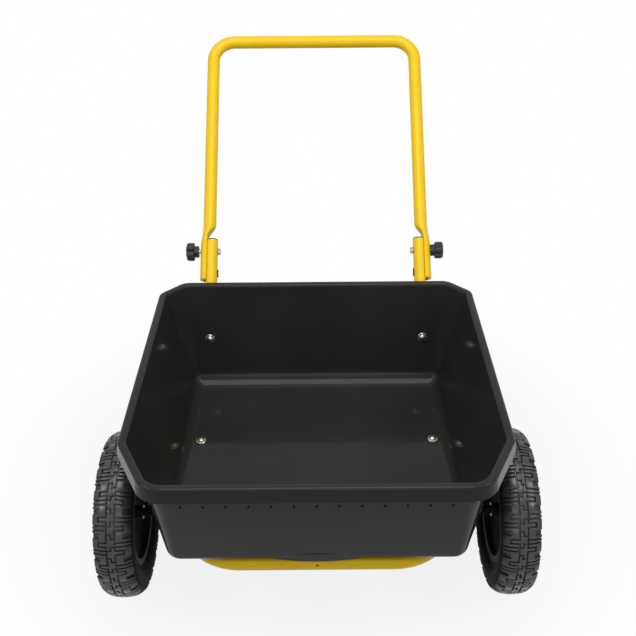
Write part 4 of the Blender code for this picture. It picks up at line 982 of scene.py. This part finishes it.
def hexagonal(outline, place, way):
    """Spins an outline and flattens six sides on what lies outside the bolt."""
    bm = spun(outline, place, way, steps=HEX_STEPS)
    there = aimed(place, way)
    back = there.inverted()
    sixth = math.radians(60)
    for vert in bm.verts:
        local = back @ vert.co
        distance = math.hypot(local.x, local.y)
        if distance > BOLT_RADIUS * 1.2:
            angle = (math.atan2(local.y, local.x) + sixth / 2) % sixth - sixth / 2
            shrink = min(1.0, HEX_HALF_WIDTH / math.cos(angle) / distance)
            vert.co = there @ Vector((local.x * shrink, local.y * shrink, local.z))
    return bm


def hex_bolt(name, place, way, length, node):
    """A hexagon-head bolt, whose place is under the head."""
    head = [
        (-HEAD_HEIGHT, 0.0),
        (-HEAD_HEIGHT, HEX_CORNER * HEAD_CHAMFER[1]),
        (-HEAD_HEIGHT * HEAD_CHAMFER[0], HEX_CORNER),
        (0.0, HEX_CORNER),
    ]
    add_piece(name, hexagonal(head + shank(length), place, way), zinc, node, sharp=25)


def hex_nut(name, place, way, node):
    """A hexagon nut, from a place along a direction."""
    outline = [
        (0.0, BOLT_RADIUS + TOUCH),
        (NUT_HEIGHT, BOLT_RADIUS + TOUCH),
        (NUT_HEIGHT, HEX_CORNER * NUT_CHAMFER[1]),
        (NUT_HEIGHT * (1 - NUT_CHAMFER[0]), HEX_CORNER),
        (NUT_HEIGHT * NUT_CHAMFER[0], HEX_CORNER),
        (0.0, HEX_CORNER * NUT_CHAMFER[1]),
    ]
    add_piece(name, hexagonal(outline, place, way), zinc, node, sharp=25)


down = Vector((0.0, 0.0, -1.0))
for name, side in SIDES.items():
    wall_face = X_AXIS * side * riser_x + rear_wall_point(REAR_BOLT_Z, 0.0)
    floor_face = Vector((side * rail_x(FLOOR_BOLT_Y), FLOOR_BOLT_Y, FLOOR_Z))
    through_wall = ("wall", "rear", wall_face, rear_out, WALL_OUT)
    through_floor = ("bed", "floor", floor_face, down, TUB_WALL)
    for piece, node, face, way, sheet in (through_wall, through_floor):
        stack = sheet + TOUCH + 2 * TUBE_RADIUS
        length = TOUCH + stack + TOUCH + NUT_HEIGHT + PAST_NUT
        flange_bolt(f"{piece}_bolt_{name}", face - way * TOUCH, way, length, f"{node}_bolt_{name}")
        hex_nut(f"{piece}_nut_{name}", face + way * (stack + TOUCH), way, f"{node}_nut_{name}")

    outboard = X_AXIS * side
    head = Vector((side * (rail_x(STAND_Y) + TUBE_RADIUS + TOUCH), STAND_Y, RAIL_Z))
    width = 3 * TOUCH + 2 * TUBE_RADIUS + 2 * STAND_RADIUS
    hex_bolt("leg_bolt_" + name, head, -outboard, width + NUT_HEIGHT + PAST_NUT, "stand_bolt_" + name)
    hex_nut("leg_nut_" + name, head - outboard * width, -outboard, "stand_nut_" + name)

    stub_face = STUB_X - TUBE_RADIUS
    low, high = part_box("handle_bolt_" + name)
    bolt_end = max(abs(low.x), abs(high.x))
    start = stub_face - 2 * TOUCH - WASHER_THICKNESS
    head = PIVOT + outboard * start
    hex_bolt("pivot_bolt_" + name, head, outboard, bolt_end - start, "handle_bolt_" + name)
    outline = ring_outline(0.0, WASHER_THICKNESS, BOLT_RADIUS + TOUCH, WASHER_RADIUS)
    washer = spun(outline, PIVOT + outboard * (start + TOUCH), outboard, FINE_ROUNDING)
    add_piece("pivot_washer_" + name, washer, zinc, "handle_washer_" + name)


# Handle. The U-shaped push handle is bent from the same yellow tube. Its ends are pressed to a half
# round, flat towards the stubs. They turn on the pivot bolts, so that the handle folds over the tub.
HANDLE_HALF_WIDTH = STUB_X + 0.0055
HANDLE_LENGTH = 0.586
HANDLE_BEND = 0.055
TAIL_LENGTH = 0.076
PRESSED_DEPTH = 0.0165
PRESSED_HALF_WIDTH = 0.017
PRESSED_POWER = 0.8
TIP_DEPTH = 0.45
TIP_WIDTH = 0.55
INNER_JOG = (0.032, 0.070)
OUTER_JOG = (0.012, 0.064)
TAIL_ROUND = 0.0035
PRESSED_FACE = STUB_X + STUB_FLAT + TOUCH - HANDLE_HALF_WIDTH

tail, top = PIVOT - HANDLE_WAY * TAIL_LENGTH, PIVOT + HANDLE_WAY * HANDLE_LENGTH
left, right = X_AXIS * -HANDLE_HALF_WIDTH, X_AXIS * HANDLE_HALF_WIDTH
corners = [left + tail, left + top, right + top, right + tail]
bm = bent_tube(corners, [HANDLE_BEND, HANDLE_BEND], TUBE_RADIUS, FINE_LENGTH)
across = X_AXIS.cross(HANDLE_WAY)
for vert in bm.verts:
    past_bolt = (vert.co - PIVOT).dot(HANDLE_WAY)
    if past_bolt > INNER_JOG[1]:
        continue
    side = math.copysign(1.0, vert.co.x)
    out = (abs(vert.co.x) - HANDLE_HALF_WIDTH) / TUBE_RADIUS
    over = (vert.co - PIVOT).dot(across) / TUBE_RADIUS
    jogs = [eased((past_bolt - start) / (end - start)) for start, end in (INNER_JOG, OUTER_JOG)]
    share = jogs[0] + (jogs[1] - jogs[0]) * max(out, 0.0)
    from_tip = max(TAIL_ROUND - (past_bolt + TAIL_LENGTH), 0.0) / TAIL_ROUND
    closing = math.sqrt(max(1 - from_tip**2, 0.0))
    depth = PRESSED_DEPTH * (TIP_DEPTH + (1 - TIP_DEPTH) * closing)
    pressed_out = PRESSED_FACE + depth * max(out, 0.0) ** PRESSED_POWER
    pressed_over = PRESSED_HALF_WIDTH * over * (TIP_WIDTH + (1 - TIP_WIDTH) * closing)
    move_out = (pressed_out - TUBE_RADIUS * out) * (1 - share)
    move_over = (pressed_over - TUBE_RADIUS * over) * (1 - share)
    vert.co += X_AXIS * side * move_out + across * move_over
hollow(add_piece("push_handle", bm, yellow, "handle_tube", body="handle"), TUBE_WALL)


# Knobs. A six-lobed knob of black nylon, moulded round a brass insert, screws onto each pivot bolt and
# clamps the handle. The left one is run a few millimetres out on its thread.
KNOB_RADIUS = 0.0225
KNOB_HEAD = 0.020
KNOB_HUB_RADIUS = 0.0145
KNOB_HUB_LENGTH = 0.0105
KNOB_BORE_DEPTH = 0.0165
KNOB_BORE_RADIUS = 0.0068
KNOB_EASE = 0.001
BACK_ROUND = 0.0035
FRONT_ROUND = 0.006
KNOB_DISH = 0.0008
DISH_SLOPE = 0.0015
KNOB_LOBES = 6
KNOB_LOBE_DEPTH = 0.005
KNOB_LOBE_POWER = 1.6
KNOB_TURNS = {"left": math.radians(30), "right": 0.0}
KNOB_STEPS = 144

brass = new_finish("brass_insert_metal", "brass_insert", (0.70, 0.50, 0.20), 0.35, 1.0)
tint(brass, 150.0, (0.62, 0.44, 0.17), (0.76, 0.56, 0.25))
vary_roughness(brass, 300.0, 0.28, 0.42)
for name, side in SIDES.items():
    low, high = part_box("knob_" + name)
    hub_face = min(abs(low.x), abs(high.x))
    start, end = KNOB_HUB_LENGTH, KNOB_HUB_LENGTH + KNOB_HEAD
    outline = [(KNOB_BORE_DEPTH, 0.0), (KNOB_BORE_DEPTH, KNOB_BORE_RADIUS), (0.0, KNOB_BORE_RADIUS)]
    outline += [(0.0, KNOB_HUB_RADIUS - KNOB_EASE), (KNOB_EASE, KNOB_HUB_RADIUS)]
    outline += [(start - KNOB_EASE, KNOB_HUB_RADIUS), (start, KNOB_HUB_RADIUS + KNOB_EASE)]
    arc = quarter(0, 6)
    outline += [(start + BACK_ROUND * (1 - x), KNOB_RADIUS - BACK_ROUND * (1 - y)) for x, y in arc]
    outline += [(end - FRONT_ROUND * (1 - y), KNOB_RADIUS - FRONT_ROUND * (1 - x)) for x, y in arc]
    outline += [(end, KNOB_HUB_RADIUS), (end - KNOB_DISH, KNOB_HUB_RADIUS - DISH_SLOPE)]
    outline += [(end - KNOB_DISH, 0.0)]
    place = PIVOT + X_AXIS * side * hub_face
    bm = spun(outline, place, X_AXIS * side, steps=KNOB_STEPS)
    for vert in bm.verts:
        local = vert.co - place
        distance = math.hypot(local.y, local.z)
        if distance > KNOB_HUB_RADIUS * 1.1:
            angle = math.atan2(local.y, local.z) + KNOB_TURNS[name]
            dip = KNOB_LOBE_DEPTH * ((1 - math.cos(KNOB_LOBES * angle)) / 2) ** KNOB_LOBE_POWER
            shrink = (distance - dip) / distance
            vert.co = place + Vector((local.x, local.y * shrink, local.z * shrink))
    add_piece("star_knob_" + name, bm, black_nylon, "knob_" + name, body="knob_" + name, sharp=50)
    coat(nodes["knob_insert_" + name], brass)


# Floor, light and camera. A pale floor lies under soft light from above and both sides, before a white
# background. A little of its shading shows near the cart, and further out it is plain white.
FLOOR_HALF_SIZE = 6.0
FLOOR_GAP = 0.0002
FADE_START = 0.45
FADE_END = 1.0
WHITE_SHARE = 0.86
ROOM_LIGHT = 0.28
CAMERA_PLACE = (0.005, AXLE_Y - 1.407, 1.565)
CAMERA_DOWN = math.radians(32.3)
CAMERA_ROLL = math.radians(-0.45)
bm = bmesh.new()
bmesh.ops.create_grid(bm, x_segments=1, y_segments=1, size=FLOOR_HALF_SIZE)
bmesh.ops.translate(bm, verts=bm.verts, vec=(0.0, 0.0, -FLOOR_GAP))
studio_floor = place_object("studio_floor", mesh_from("studio_floor", bm))
pale = bpy.data.materials.new("pale_floor")
pale.use_nodes = True
pale.cycles.emission_sampling = "NONE"
tree = pale.node_tree
inputs = surface(pale)
inputs["Base Color"].default_value = (0.6, 0.6, 0.6, 1.0)
inputs["Roughness"].default_value = 0.9
inputs["Specular IOR Level"].default_value = 0.0


def seen_directly(tree):
    """1 for camera, glossy and transmission rays, and 0 for the rest."""
    path = tree.nodes.new("ShaderNodeLightPath")
    seen = path.outputs["Is Camera Ray"]
    for kind in ("Is Glossy Ray", "Is Transmission Ray"):
        either = tree.nodes.new("ShaderNodeMath")
        either.operation = "MAXIMUM"
        tree.links.new(seen, either.inputs[0])
        tree.links.new(path.outputs[kind], either.inputs[1])
        seen = either.outputs["Value"]
    return seen


place = tree.nodes.new("ShaderNodeTexCoord")
distance = tree.nodes.new("ShaderNodeVectorMath")
distance.operation = "LENGTH"
fade = spread(tree, distance.outputs["Value"], FADE_START, FADE_END, WHITE_SHARE, 1.0)
fade.interpolation_type = "SMOOTHSTEP"
white = tree.nodes.new("ShaderNodeEmission")
share = tree.nodes.new("ShaderNodeMath")
share.operation = "MULTIPLY"
blend = tree.nodes.new("ShaderNodeMixShader")
for source, target in (
    (place.outputs["Object"], distance.inputs[0]),
    (fade.outputs["Result"], share.inputs[0]),
    (seen_directly(tree), share.inputs[1]),
    (share.outputs["Value"], blend.inputs["Fac"]),
    (tree.nodes["Principled BSDF"].outputs["BSDF"], blend.inputs[1]),
    (white.outputs["Emission"], blend.inputs[2]),
    (blend.outputs["Shader"], tree.nodes["Material Output"].inputs["Surface"]),
):
    tree.links.new(source, target)
studio_floor.data.materials.append(pale)

world = bpy.data.worlds.new("studio")
world.use_nodes = True
tree = world.node_tree
background = tree.nodes["Background"]
background.inputs["Color"].default_value = (1.0, 1.0, 1.0, 1.0)
level = spread(tree, seen_directly(tree), 0.0, 1.0, ROOM_LIGHT, 1.0)
tree.links.new(level.outputs["Result"], background.inputs["Strength"])
bpy.context.scene.world = world

LAMPS = (
    ("front_softbox", (0.0, -3.0, 1.8), (0.0, 0.0, 0.3), 1.3, 8.0),
    ("overhead_softbox", (0.0, -0.5, 2.5), (0.0, -0.2, 0.2), 1.4, 34.0),
    ("left_softbox", (-1.9, -1.0, 2.1), (-0.2, -0.3, 0.3), 0.9, 17.0),
    ("right_softbox", (1.9, -1.0, 2.1), (0.2, -0.3, 0.3), 0.9, 17.0),
)
for name, place, aim, size, power in LAMPS:
    lamp = bpy.data.lights.new(name, "AREA")
    lamp.shape = "SQUARE"
    lamp.size = size
    lamp.energy = power
    made = place_object(name, lamp)
    made.location = place
    made.rotation_euler = (Vector(aim) - Vector(place)).to_track_quat("-Z", "Y").to_euler()

lens = bpy.data.cameras.new("photo_camera")
lens.lens = 50.0
lens.sensor_width = 36.0
camera = place_object("photo_camera", lens)
tilt = Matrix.Rotation(math.pi / 2 - CAMERA_DOWN, 4, "X") @ Matrix.Rotation(CAMERA_ROLL, 4, "Z")
camera.matrix_world = Matrix.Translation(CAMERA_PLACE) @ tilt
bpy.context.scene.camera = camera
bpy.context.scene.view_settings.view_transform = "Standard"
